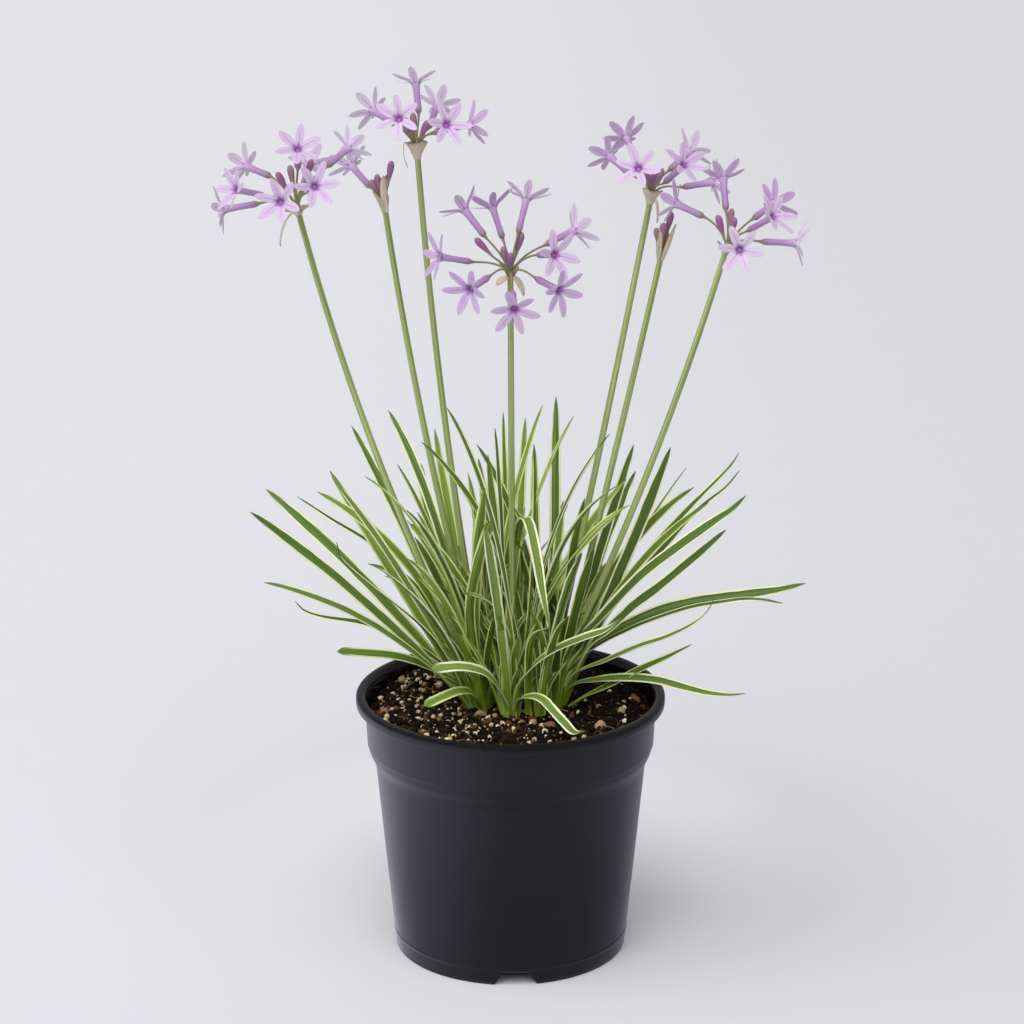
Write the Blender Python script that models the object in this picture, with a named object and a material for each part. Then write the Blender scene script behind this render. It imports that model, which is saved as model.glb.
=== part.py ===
"""Potted society garlic: a variegated clump in bloom, in a black plastic nursery pot.

Each object is one physical piece of the plant or its holder. Sizes in the tables are millimetres
and are turned into metres where a mesh is made. +Z is up, +Y points away from the side that is
seen first, and the origin is the middle of the pot's foot on the ground.
"""

import math
from dataclasses import dataclass

import bmesh
import bpy
import numpy as np

MM = 0.001
GAP = 0.3  # clearance that pieces in contact keep
LEVEL = np.array([0.0, 0.0, 1.0])

# Pot: a turned wall with a flat rim, a band, a shoulder and a skirt around drain channels.
SIDES = 40
POT_HEIGHT = 142.5
RIM_RADIUS = 82.5
RIM_WIDTH = 4.8
LIP_DEPTH = 6.0
BAND_TOP_RADIUS = 77.5
BAND_FOOT_RADIUS = 76.4
BAND_FOOT_HEIGHT = 115.0
SHOULDER_RADIUS = 72.2
SHOULDER_HEIGHT = 104.0
SKIRT_TOP_RADIUS = 63.4
SKIRT_HEIGHT = 9.4
FOOT_RADIUS = 62.0
WALL = 1.4
FLOOR = 1.8
FLOOR_RADIUS = 49.0
CHANNEL_HEIGHT = 7.2
SKIRT_WALL = 2.0

NOTCH_COUNT = 3
NOTCH_FIRST_ANGLE = -87.3
NOTCH_FOOT_WIDTH = 22.7
NOTCH_TOP_WIDTH = 13.7
NOTCH_HEIGHT = 7.0
DRAIN_RADIUS = 3.0
DRAIN_RING_RADIUS = 55.4

# Soil: fills the pot to a little under its rim, level in the middle and uneven near the wall.
SOIL_TOP = 134.0
SOIL_FLAT_RADIUS = 42.0
SOIL_SWELL = 2.4

# Crowns: the short sheathed stools that leaves and flower stalks grow from.
CROWN_MIDDLE_HEIGHT = 137.0
CROWN_RISE = 10.0
CROWN_SIDES = 20
LEAF_FOOT_CLEAR = 5.4

LEAF_GAP = 0.35
LEAF_THICKNESS = 0.9
LEAF_STATIONS = (0.0, 0.07, 0.22, 0.42, 0.62, 0.80, 0.91, 0.97, 1.0)
LEAF_FULLNESS = (0.45, 0.62, 0.88, 1.0, 1.0, 0.90, 0.68, 0.40, 0.10)

STALK_FOOT_RADIUS = 2.0
STALK_NECK_RADIUS = 1.7

# Heads: thin stems from a hub carry flowers with flared tubes and six tepals, and closed buds.
PEDICEL_RADIUS = 0.6
PEDICEL_RISE = 0.5  # how strongly a stem sets off along the stalk
PEDICEL_SPREAD = 0.6  # and how strongly towards its flower
TUBE_LENGTH = 17.0
TUBE_FOOT_RADIUS = 1.3
MOUTH_RADIUS = 2.3
MOUTH_DEPTH = 4.5
TEPAL_REACH = 14.2
TEPAL_WIDTH = 3.6
TEPAL_RISE = 1.4
BUD_LENGTH = 13.0
BUD_PROFILE = ((0.7, 0.0), (1.9, 7.5), (1.3, 11.5), (0.3, BUD_LENGTH))
HUB_PROFILE = ((STALK_NECK_RADIUS, 0.0), (2.5, 1.4), (2.3, 2.4), (1.2, 3.2))

# Spathes: two papery bracts grown together at their feet. Each form has the height of its foot
# from the hub, and its longest reach.
SPATHE_SIDES = 12
SPATHE_THICKNESS = 0.56
SPATHE_FORMS = {
    "cup": (-3.0, 15.0),
    "funnel": (-7.5, 9.5),
    "turned": (-3.0, 12.0),
}


@dataclass(frozen=True)
class Crown:
    """A tuft's stool: where it stands and how wide it is."""

    x: float
    y: float
    radius: float

    @property
    def middle(self):
        return np.array([self.x, self.y, CROWN_MIDDLE_HEIGHT])


@dataclass(frozen=True)
class Leaf:
    """A strap leaf: its crown, where its tip is, and how it bends on the way."""

    name: str
    crown: str
    tip: tuple
    arch: float  # how far its middle stands above the straight line to the tip
    width: float
    roll: float  # degrees that its upper face is turned to the front
    lift: float = 0.0  # upward curl of the last stretch
    sway: float = 0.0  # how far its middle is pushed to the front


@dataclass(frozen=True)
class Flower:
    """A flower, measured from its hub: its throat, where its tube starts, and its tepals' turn."""

    throat: tuple
    foot: tuple
    turn: float = 0.0


@dataclass(frozen=True)
class Stalk:
    """A flower stalk with its head: foot on the crown's top, neck, and what the head carries."""

    name: str
    crown: str
    foot: tuple
    neck: tuple
    arch: float
    spathe: str  # "cup" and "funnel" stand up around the stems, "turned" hangs back
    spathe_angle: float
    flowers: tuple  # Flower entries
    buds: tuple  # from the hub to each bud's tip


CROWNS = {
    "left": Crown(-15, 0, 11.0),
    "middle": Crown(0, -13, 7.0),
    "front": Crown(14, -14, 6.2),
    "right": Crown(23, 3, 10.5),
}

LEAVES = (
    Leaf("leaf_left_01", "left", (-134, -28, 251), 2, 5.0, 55),
    Leaf("leaf_left_02", "left", (-131, 40, 243), 3, 5.0, 50),
    Leaf("leaf_left_03", "left", (-116, 66, 231), 10, 4.0, 40),
    Leaf("leaf_left_04", "left", (-92, -20, 267), 2, 5.5, 45),
    Leaf("leaf_left_05", "left", (-125, -62, 224), 8, 5.0, 30),
    Leaf("leaf_left_06", "left", (-88, -70, 248), 4, 4.5, 20),
    Leaf("leaf_left_07", "left", (-86, 66, 271), 3, 5.0, 30),
    Leaf("leaf_left_08", "left", (-67, 91, 273), 15, 5.0, 20),
    Leaf("leaf_left_09", "left", (-53, -41, 256), 12, 6.0, 15),
    Leaf("leaf_left_10", "left", (-70, -90, 243), 9, 4.5, 10),
    Leaf("leaf_left_11", "left", (-115, 18, 187), 9, 4.0, 40),
    Leaf("leaf_middle_01", "middle", (-41, -42, 170), 13, 5.5, 40, -3),
    Leaf("leaf_middle_02", "middle", (-32, -44, 311), 14, 5.5, 15, 0, 10),
    Leaf("leaf_middle_03", "middle", (-8, -10, 291), 2, 5.0, 0),
    Leaf("leaf_middle_04", "middle", (-13, -84, 262), 4, 5.0, 0),
    Leaf("leaf_middle_05", "middle", (36, -68, 144), 12, 4.5, 25, 4),
    Leaf("leaf_middle_06", "middle", (57, -56, 198), 11, 5.5, 30, 5, 11),
    Leaf("leaf_front_01", "front", (7, -64, 249), 6, 5.5, 0),
    Leaf("leaf_front_02", "front", (54, -67, 277), 22, 5.0, 15),
    Leaf("leaf_front_03", "front", (36, -72, 243), 5, 5.0, 5),
    Leaf("leaf_right_01", "right", (24, 26, 298), 0, 5.5, 0),
    Leaf("leaf_front_04", "front", (51, -18, 290), 14, 5.0, 15),
    Leaf("leaf_right_02", "right", (66, 46, 266), 1, 5.0, 35),
    Leaf("leaf_right_03", "right", (84, 10, 275), -3, 5.5, 50),
    Leaf("leaf_right_04", "right", (121, 34, 263), 3, 4.5, 55, 3),
    Leaf("leaf_right_05", "right", (124, 66, 246), 3, 4.0, 45),
    Leaf("leaf_right_06", "right", (121, -22, 258), 2, 4.5, 50),
    Leaf("leaf_right_07", "right", (108, -75, 256), 2, 5.5, 30),
    Leaf("leaf_right_08", "right", (151, -4, 205), 15, 4.5, 50),
    Leaf("leaf_right_09", "right", (138, -58, 211), 14, 4.5, 40),
    Leaf("leaf_right_10", "right", (103, -78, 214), -3, 4.5, 30, 8),
    Leaf("leaf_right_11", "right", (121, -58, 160), 9, 5.0, 40, 5),
    Leaf("leaf_right_12", "right", (69, 92, 238), 6, 5.0, 20),
)

STALKS = (
    Stalk(
        "1", "left", (-2.5, 0.2), (-108, -10, 406), -7, "turned", 200,
        flowers=(
            Flower((2, -18, 34), (1, -5, 22), 20),
            Flower((11, -32, 18), (7, -16, 12), 5),
            Flower((-6, -36, 11), (-3, -20, 6), -15),
            Flower((-27, 20, 18), (-14, 9, 15), 40),
            Flower((-29, -20, 14), (-16, -10, 9), 10),
            Flower((-37, 4, -1), (-20, 4, 2), 25),
            Flower((25, 22, 27), (15, 10, 20), 30),
            Flower((4, 33, 16), (2, 19, 8), 0),
        ),
        buds=((-10, 0, 19), (8, -2, 26), (-4, 8, 21)),
    ),
    Stalk(
        "2", "left", (1.3, 2.6), (-65, 20, 401), -4, "cup", 60,
        flowers=(Flower((-18, 27, 16), (-8, 16, 7), 15),),
        buds=((4, 0, 24), (-4, 0, 17), (-7, 1, 14)),
    ),
    Stalk(
        "3", "left", (1.6, -2.0), (-48, 15, 433), -4, "funnel", 170,
        flowers=(
            Flower((0, 20, 30), (1, 9, 18), 10),
            Flower((16, -30, 17), (10, -15, 10), 50),
            Flower((-8, -30, 20), (-5, -15, 12), 35),
            Flower((10, 31, 16), (6, 17, 7), 0),
            Flower((27, 19, 8), (13, 10, 7), 20),
            Flower((-23, 27, 14), (-12, 15, 9), 45),
        ),
        buds=((-8, -4, 14), (-6, 2, 15), (-2, 5, 17), (6, 0, 14)),
    ),
    Stalk(
        "4", "middle", (1.2, 1.0), (0, -15, 373), 0, "turned", 300,
        flowers=(
            Flower((-35, -8, 11), (-20, -1, 7), 5),
            Flower((-20, -32, 0), (-11, -18, 3), 5),
            Flower((2, -37, -9), (1, -21, -4), -12),
            Flower((24, -30, -1), (13, -17, 2), -15),
            Flower((22, -26, 16), (14, -12, 13), -15),
            Flower((32, 4, 22), (18, -6, 17), 30),
            Flower((8, 8, 37), (4, -1, 22), 50),
            Flower((-9, 21, 30), (-4, 13, 16), 10),
            Flower((-23, 6, 32), (-13, 0, 20), 35),
        ),
        buds=((-18, 0, 19), (6, 0, 22), (-4, -1, 15), (0, -7, 13)),
    ),
    Stalk(
        "5", "right", (-2.2, 1.25), (73, 30, 405), -1, "turned", 330,
        flowers=(
            Flower((-21, 22, 16), (-11, 11, 9), 15),
            Flower((-12, 30, 24), (-7, 16, 15), 40),
            Flower((-8, -31, 20), (-5, -17, 12), -10),
            Flower((15, -28, 21), (6, -17, 10), 20),
            Flower((21, 26, 18), (10, 16, 10), 0),
            Flower((32, 18, 3), (17, 11, 2), 25),
        ),
        buds=((-3, -3, 14), (2, 2, 15), (6, 0, 14)),
    ),
    Stalk(
        "6", "right", (2.2, 1.25), (78, 15, 377), -1, "cup", 120,
        flowers=(),
        buds=((8, 3, 23), (2, -2, 17), (-4, 1, 15)),
    ),
    Stalk(
        "7", "right", (0.0, -2.55), (110, -10, 386), -5, "turned", 30,
        flowers=(
            Flower((-29, 14, 17), (-15, 8, 10), 20),
            Flower((-1, 23, 31), (0, 12, 17), 5),
            Flower((21, -24, 21), (10, -14, 12), -15),
            Flower((25, 22, 18), (14, 10, 13), 35),
            Flower((35, 6, 1), (18, 5, 2), 15),
            Flower((4, -37, 7), (3, -20, 4), -10),
        ),
        buds=((-5, 0, 17), (4, -1, 16), (3, 11, 18)),
    ),
)

COLOURS = {
    "pot": (0.020, 0.020, 0.024, 0.42),
    "soil": (0.035, 0.022, 0.014, 0.95),
    "crown": (0.30, 0.36, 0.10, 0.55),
    "leaf": (0.17, 0.28, 0.09, 0.45),
    "stalk": (0.22, 0.33, 0.08, 0.40),
    "spathe": (0.48, 0.36, 0.24, 0.70),
    "umbel": (0.52, 0.33, 0.62, 0.55),
}


def clear_scene():
    for old in list(bpy.data.objects):
        bpy.data.objects.remove(old, do_unlink=True)


def material(kind):
    """The Principled material of a kind of piece, made once."""
    if kind in bpy.data.materials:
        return bpy.data.materials[kind]
    red, green, blue, roughness = COLOURS[kind]
    made = bpy.data.materials.new(kind)
    made.use_nodes = True
    shader = made.node_tree.nodes["Principled BSDF"]
    shader.inputs["Base Color"].default_value = (red, green, blue, 1.0)
    shader.inputs["Roughness"].default_value = roughness
    shader.inputs["Metallic"].default_value = 0.0
    return made


def add_object(name, mesh_builder, kind, crease_angle=40):
    """Turns a bmesh whose points are millimetres into a named object in metres."""
    bmesh.ops.recalc_face_normals(mesh_builder, faces=mesh_builder.faces)
    bmesh.ops.scale(mesh_builder, vec=(MM, MM, MM), verts=mesh_builder.verts)
    mesh = bpy.data.meshes.new(name)
    mesh_builder.to_mesh(mesh)
    mesh_builder.free()
    mesh.shade_smooth()
    mesh.set_sharp_from_angle(angle=math.radians(crease_angle))
    piece = bpy.data.objects.new(name, mesh)
    bpy.context.collection.objects.link(piece)
    mesh.materials.append(material(kind))
    return piece


def loft(builder, rings):
    """A closed tube through rings of equally many points, with a flat face on each end."""
    loops = [[builder.verts.new(point) for point in ring] for ring in rings]
    count = len(loops[0])
    for lower, upper in zip(loops, loops[1:]):
        for i in range(count):
            j = (i + 1) % count
            builder.faces.new((lower[i], lower[j], upper[j], upper[i]))
    builder.faces.new(loops[0][::-1])
    builder.faces.new(loops[-1])


def split_quad(builder, lower, upper, i, j, rising):
    """Two triangles between two loops, parted by the line that rises from i to j or from j to i."""
    if rising:
        builder.faces.new((lower[i], lower[j], upper[j]))
        builder.faces.new((lower[i], upper[j], upper[i]))
    else:
        builder.faces.new((lower[i], lower[j], upper[i]))
        builder.faces.new((lower[j], upper[j], upper[i]))


def loft_strap(builder, rings):
    """A closed strap through rings of four corners: edge, keel, edge, channel.

    Every side is parted from the middle line up to the edge, on both faces alike, so the two
    faces of a twisted strap keep their distance.
    """
    loops = [[builder.verts.new(point) for point in ring] for ring in rings]
    for lower, upper in zip(loops, loops[1:]):
        for i in range(4):
            split_quad(builder, lower, upper, i, (i + 1) % 4, rising=i % 2 == 1)
    builder.faces.new(loops[0][::-1])
    builder.faces.new(loops[-1])


def turned(profile, sides):
    """Rings for loft: a profile of (radius, height) points carried round the Z axis."""
    angles = np.arange(sides) * 2 * math.pi / sides
    circle = np.stack([np.cos(angles), np.sin(angles)], axis=1)
    return [
        np.column_stack([circle * radius, np.full(sides, height)])
        for radius, height in profile
    ]


def unit(vector):
    vector = np.asarray(vector, float)
    return vector / np.linalg.norm(vector)


def bend(start, knee, end, share):
    """Point and direction at a share (0 to 1) of the curve that leaves start for knee and ends at end."""
    point = (1 - share) ** 2 * start + 2 * share * (1 - share) * knee + share**2 * end
    slope = 2 * (1 - share) * (knee - start) + 2 * share * (end - knee)
    return point, unit(slope)


def arched_knee(start, end, arch):
    """Knee of the curve whose middle stands arch above the straight line from start to end."""
    line = unit(end - start)
    outward = unit(LEVEL - line * (LEVEL @ line))
    return (start + end) / 2 + 2 * arch * outward


def section_axes(direction, along=LEVEL):
    """Two axes across a direction: one level, and one square to both."""
    across = np.cross(along, direction)
    if np.linalg.norm(across) < 1e-3:
        across = np.array([1.0, 0.0, 0.0])
    across = unit(across)
    return across, np.cross(direction, across)


# ---- Pot ---------------------------------------------------------------------------------------


def pot_profile():
    """The wall's outline, from the middle of the underside, up the outside and down the inside."""
    inner_foot = SKIRT_TOP_RADIUS - WALL
    channel_roof = CHANNEL_HEIGHT + FLOOR
    outside = [
        (FLOOR_RADIUS, 0),
        (FLOOR_RADIUS + 1.6, CHANNEL_HEIGHT),
        (FOOT_RADIUS - SKIRT_WALL, CHANNEL_HEIGHT),
        (FOOT_RADIUS - SKIRT_WALL, 0),
        (FOOT_RADIUS - 0.5, 0),
        (FOOT_RADIUS, 0.5),
        (SKIRT_TOP_RADIUS - 0.5, SKIRT_HEIGHT - 0.6),
        (SKIRT_TOP_RADIUS, SKIRT_HEIGHT),
        (SHOULDER_RADIUS, SHOULDER_HEIGHT),
        (SHOULDER_RADIUS + 1.3, SHOULDER_HEIGHT + 2.8),
        (BAND_FOOT_RADIUS - 0.9, BAND_FOOT_HEIGHT - 4.0),
        (BAND_FOOT_RADIUS, BAND_FOOT_HEIGHT),
        (BAND_TOP_RADIUS, POT_HEIGHT - LIP_DEPTH - 1.0),
        (BAND_TOP_RADIUS + 0.8, POT_HEIGHT - LIP_DEPTH),
        (RIM_RADIUS - 0.8, POT_HEIGHT - LIP_DEPTH),
        (RIM_RADIUS, POT_HEIGHT - LIP_DEPTH + 0.9),
        (RIM_RADIUS, POT_HEIGHT - 0.9),
        (RIM_RADIUS - 0.8, POT_HEIGHT),
    ]
    inside = [
        (RIM_RADIUS - RIM_WIDTH, POT_HEIGHT),
        (BAND_TOP_RADIUS - WALL, POT_HEIGHT - 2.0),
        (BAND_FOOT_RADIUS - WALL, BAND_FOOT_HEIGHT),
        (SHOULDER_RADIUS - WALL, SHOULDER_HEIGHT),
        (inner_foot, channel_roof),
        (FLOOR_RADIUS + 2.2, channel_roof),
        (FLOOR_RADIUS - 1.0, FLOOR),
    ]
    return outside + inside


def add_notch_cutter(angle):
    """A tapered block that cuts one drain notch through the skirt."""
    reach = (FOOT_RADIUS - SKIRT_WALL - 3.0, SKIRT_TOP_RADIUS + 4.0)
    slope = (NOTCH_FOOT_WIDTH - NOTCH_TOP_WIDTH) / (2 * NOTCH_HEIGHT)
    low = NOTCH_FOOT_WIDTH / 2 + slope
    high = NOTCH_TOP_WIDTH / 2
    rings = [
        np.array([(radius, -low, -1), (radius, low, -1), (radius, high, NOTCH_HEIGHT),
                  (radius, -high, NOTCH_HEIGHT)])
        for radius in reach
    ]
    builder = bmesh.new()
    loft(builder, rings)
    cutter = add_object("notch_cutter", builder, "pot")
    cutter.rotation_euler.z = math.radians(angle)
    return cutter


def add_drain_cutter(angle):
    """A round hole through the roof of the drain channel, behind a notch."""
    depth = (CHANNEL_HEIGHT - 2.0, CHANNEL_HEIGHT + FLOOR + 2.0)
    builder = bmesh.new()
    loft(builder, turned([(DRAIN_RADIUS, height) for height in depth], 12))
    cutter = add_object("drain_cutter", builder, "pot")
    heading = math.radians(angle)
    cutter.location = (
        DRAIN_RING_RADIUS * MM * math.cos(heading),
        DRAIN_RING_RADIUS * MM * math.sin(heading),
        0.0,
    )
    return cutter


def cut(piece, cutter):
    cutter.hide_render = True
    cutter.display_type = "WIRE"
    opening = piece.modifiers.new(cutter.name, "BOOLEAN")
    opening.operation = "DIFFERENCE"
    opening.solver = "EXACT"
    opening.object = cutter


def build_pot():
    builder = bmesh.new()
    loft(builder, turned(pot_profile(), SIDES))
    pot = add_object("pot", builder, "pot", crease_angle=30)
    for number in range(NOTCH_COUNT):
        angle = NOTCH_FIRST_ANGLE + number * 360 / NOTCH_COUNT
        cut(pot, add_notch_cutter(angle))
        cut(pot, add_drain_cutter(angle))


# ---- Soil --------------------------------------------------------------------------------------


def soil_height(x, y):
    """Height of the soil's top: level in the middle, then slow swells that grow towards the wall."""
    outward = max(0.0, math.hypot(x, y) / SOIL_FLAT_RADIUS - 1.0)
    swell = math.sin(0.045 * x + 0.8) * math.cos(0.050 * y - 0.4) - 0.35 * math.cos(0.06 * x)
    return SOIL_TOP + SOIL_SWELL * outward * swell - 1.2 * outward


def build_soil():
    """Follows the inside of the pot from its floor up, and closes with the uneven top."""
    side = [
        (FLOOR_RADIUS - 1.0 - GAP, FLOOR + GAP),
        (FLOOR_RADIUS + 2.2 - GAP, CHANNEL_HEIGHT + FLOOR + GAP),
        (SKIRT_TOP_RADIUS - WALL - GAP, CHANNEL_HEIGHT + FLOOR + GAP),
        (SHOULDER_RADIUS - WALL - GAP, SHOULDER_HEIGHT),
        (BAND_FOOT_RADIUS - WALL - GAP, BAND_FOOT_HEIGHT + 0.5),
    ]
    wall_radius = BAND_FOOT_RADIUS - WALL - GAP + 0.6
    rings = turned(side + [(wall_radius, SOIL_TOP)], SIDES)
    rings += turned([(radius, SOIL_TOP) for radius in (66.0, 54.0, SOIL_FLAT_RADIUS)], SIDES)
    for ring in rings[-4:]:
        for point in ring:
            point[2] = soil_height(point[0], point[1])
    builder = bmesh.new()
    loft(builder, rings)
    add_object("soil", builder, "soil", crease_angle=50)


# ---- Crowns and leaves -------------------------------------------------------------------------


def build_crown(name, crown):
    """A lobed stool, a little narrower at the soil, with a flat top for the flower stalks."""
    foot = SOIL_TOP + GAP
    top = CROWN_MIDDLE_HEIGHT + CROWN_RISE
    profile = (
        (0.82, foot),
        (0.98, foot + 2.5),
        (0.99, foot + 5.5),
        (0.94, foot + 8.7),
        (0.82, foot + 11.0),
        (0.56, top),
    )
    rings = turned([(share * crown.radius, height) for share, height in profile], CROWN_SIDES)
    builder = bmesh.new()
    loft(builder, [ring + (crown.x, crown.y, 0) for ring in rings])
    add_object("crown_" + name, builder, "crown")


def crown_edge(crown, direction):
    """From a crown's middle to just off its surface, near a direction but clear of its flat top.

    The surface is taken as a rounded cylinder: flat**4 + steep**4 = 1, with flat the share of the
    radius and steep the share of the rise. Only flower stalks stand within LEAF_FOOT_CLEAR.
    """
    sideways = math.hypot(direction[0], direction[1])
    reach = ((sideways / crown.radius) ** 4 + (abs(direction[2]) / CROWN_RISE) ** 4) ** -0.25
    flat = max(reach * sideways, LEAF_FOOT_CLEAR) / crown.radius
    steep = (1 - min(flat, 1.0) ** 4) ** 0.25
    outward = np.array([direction[0], direction[1], 0.0]) / sideways
    return outward * (flat * crown.radius + LEAF_GAP) + LEVEL * (steep * CROWN_RISE + LEAF_GAP)


def leaf_curve(leaf):
    """Start, knee and end of a leaf, which leaves its crown like a spoke."""
    crown = CROWNS[leaf.crown]
    end = np.array(leaf.tip, float)
    knee = arched_knee(crown.middle, end, leaf.arch) - (0, 2 * leaf.sway, 0)
    start = crown.middle + crown_edge(crown, unit(knee - crown.middle))
    return start, knee, end


def leaf_ring(leaf, share, fullness):
    """Four corners of a leaf's section: two sharp edges, and the channel and keel between them.

    The section stays square to the upright plane that the leaf leaves its crown in, and then
    rolls towards the front.
    """
    start, knee, end = leaf_curve(leaf)
    point, direction = bend(start, knee, end, share)
    point = point + LEVEL * leaf.lift * share**5
    across = np.cross(LEVEL, unit(end - start))
    across = unit(across - direction * (across @ direction))
    face = np.cross(direction, across)
    front = -across if across[1] > 0 else across
    turn = math.radians(leaf.roll) * min(1.0, share / 0.35)
    face = face * math.cos(turn) + front * math.sin(turn)
    across = np.cross(face, direction)
    half = leaf.width * fullness / 2
    thick = LEAF_THICKNESS * (0.5 + 0.5 * fullness)
    return np.array([
        point - across * half + face * 0.15 * half,
        point - face * thick * 0.6,
        point + across * half + face * 0.15 * half,
        point + face * thick * 0.4,
    ])


def build_leaf(leaf):
    builder = bmesh.new()
    stations = zip(LEAF_STATIONS, LEAF_FULLNESS)
    loft_strap(builder, [leaf_ring(leaf, *station) for station in stations])
    add_object(leaf.name, builder, "leaf", crease_angle=60)


# ---- Flower stalks and heads -------------------------------------------------------------------


def stalk_curve(stalk):
    crown = CROWNS[stalk.crown]
    top = CROWN_MIDDLE_HEIGHT + CROWN_RISE + GAP
    start = np.array([crown.x + stalk.foot[0], crown.y + stalk.foot[1], top])
    end = np.array(stalk.neck, float)
    return start, arched_knee(start, end, stalk.arch), end


def tube_rings(points, directions, radii, sides):
    """Round rings square to a path, for loft."""
    angles = np.arange(sides) * 2 * math.pi / sides
    run = unit(np.asarray(points[-1]) - points[0])
    along = np.eye(3)[np.argmin(np.abs(run))]
    rings = []
    for point, direction, radius in zip(points, directions, radii):
        across, over = section_axes(direction, along)
        rings.append(point + radius * (
            np.cos(angles)[:, None] * across + np.sin(angles)[:, None] * over
        ))
    return rings


def build_stalk(stalk):
    shares = np.linspace(0, 1, 7)
    points, directions = zip(*(bend(*stalk_curve(stalk), share) for share in shares))
    radii = STALK_FOOT_RADIUS + (STALK_NECK_RADIUS - STALK_FOOT_RADIUS) * shares
    rings = tube_rings(points, (LEVEL,) + directions[1:], radii, 8)
    builder = bmesh.new()
    loft(builder, rings)
    add_object("stalk_" + stalk.name, builder, "stalk")


def head_frame(stalk):
    """Hub point of a head and the direction its stalk comes in."""
    _, axis = bend(*stalk_curve(stalk), 1.0)
    return np.array(stalk.neck, float), axis


def add_turned(builder, profile, sides, origin, axis):
    """Adds a closed turned form whose profile runs along an axis from an origin."""
    points = [origin + axis * height for _, height in profile]
    loft(builder, tube_rings(points, [axis] * len(profile), [r for r, _ in profile], sides))


def add_pedicel(builder, hub, axis, end, heading):
    """A thin stem that rises out of the hub and bends over to where a flower sits."""
    length = np.linalg.norm(end - hub)
    knee = hub + unit(PEDICEL_RISE * axis + PEDICEL_SPREAD * unit(end - hub)) * length / 2
    start = hub + axis * 2 * GAP
    curve = [bend(start, knee, end, share) for share in (0.0, 0.45, 1.0)]
    points, directions = zip(*curve)
    points = points[:-1] + (end + heading * 0.8,)
    loft(builder, tube_rings(points, directions, [PEDICEL_RADIUS] * 3, 4))


def add_flower(builder, foot, heading, turn):
    """A flared tube with a pit in its mouth and six tepals, each a thin leaf of two faces."""
    across, over = section_axes(heading)

    def place(radius, angle, height):
        spread = math.cos(angle) * across + math.sin(angle) * over
        return builder.verts.new(foot + heading * height + radius * spread)

    def ring(radius, height, offset=0.0):
        angles = [turn + math.radians(60 * k + offset) for k in range(6)]
        return [place(radius, angle, height) for angle in angles]

    tail = place(0.0, 0.0, 0.0)
    neck = ring(TUBE_FOOT_RADIUS, 1.0)
    mouth = ring(MOUTH_RADIUS, TUBE_LENGTH - 1.6)
    pit = ring(0.6 * MOUTH_RADIUS, TUBE_LENGTH - 0.3)
    pit_floor = place(0.0, 0.0, TUBE_LENGTH - MOUTH_DEPTH)
    notches = ring(MOUTH_RADIUS + 0.1, TUBE_LENGTH, offset=-30)
    reach = 0.60 * TEPAL_REACH
    shoulder = TUBE_LENGTH + TEPAL_RISE
    spread = math.degrees(math.atan2(TEPAL_WIDTH / 2, reach))
    sides_a = ring(reach, shoulder, offset=-spread)
    sides_b = ring(reach, shoulder, offset=spread)
    uppers = ring(reach, shoulder + 0.2)
    lowers = ring(reach, shoulder - 0.5)
    tips = ring(TEPAL_REACH, shoulder - 0.6)
    for k in range(6):
        j = (k + 1) % 6
        side_a, side_b, upper, lower, tip = (
            group[k] for group in (sides_a, sides_b, uppers, lowers, tips)
        )
        for corners in (
            (tail, neck[j], neck[k]),
            (neck[k], neck[j], mouth[j], mouth[k]),
            (mouth[k], mouth[j], notches[j]),
            (notches[k], mouth[k], lower),
            (notches[k], lower, side_a),
            (mouth[k], notches[j], lower),
            (notches[j], side_b, lower),
            (lower, tip, side_a),
            (lower, side_b, tip),
            (notches[k], side_a, upper),
            (notches[k], upper, pit[k]),
            (notches[j], upper, side_b),
            (notches[j], pit[k], upper),
            (upper, side_a, tip),
            (upper, tip, side_b),
            (pit[k], notches[j], pit[j]),
            (pit[k], pit[j], pit_floor),
        ):
            builder.faces.new(corners)


def build_umbel(stalk):
    """Hub, stems, flowers and buds of a head, joined into one body."""
    hub, axis = head_frame(stalk)
    hub = hub + axis * GAP
    builder = bmesh.new()
    for flower in stalk.flowers:
        foot = hub + flower.foot
        heading = unit(hub + flower.throat - foot)
        add_pedicel(builder, hub, axis, foot, heading)
        add_flower(builder, foot, heading, math.radians(flower.turn))
    for offset in stalk.buds:
        heading = unit(offset)
        foot = hub + offset - heading * BUD_LENGTH
        add_pedicel(builder, hub, axis, foot, heading)
        add_turned(builder, BUD_PROFILE, 5, foot, heading)
    umbel = add_object("umbel_" + stalk.name, builder, "umbel")
    core_builder = bmesh.new()
    add_turned(core_builder, HUB_PROFILE, 8, hub, axis)
    core = add_object("umbel_core_" + stalk.name, core_builder, "umbel")
    core.hide_render = True
    core.display_type = "WIRE"
    join = umbel.modifiers.new("join", "BOOLEAN")
    join.operation = "UNION"
    join.solver = "EXACT"
    join.use_self = True
    join.object = core


def spathe_path(form, share, length):
    """Radius and height from the hub of the papery bract's middle, at a share of its length."""
    foot, _ = SPATHE_FORMS[form]
    if form == "turned":
        swing = math.radians(70) * share
        return 2.3 + 0.42 * length * math.sin(swing), foot + share - 0.35 * length * share**2
    return 2.5 + 0.45 * length * share**1.3, foot + length * share


def spathe_wall(form, share, length, shift):
    """A point of the bract's outer or inner face: its middle line moved square to itself."""
    radius, height = spathe_path(form, share, length)
    ahead = spathe_path(form, share + 0.01, length)
    behind = spathe_path(form, max(share - 0.01, 0.0), length)
    out, rise = unit(np.subtract(ahead, behind))
    return radius + shift * rise, height - shift * out


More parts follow.
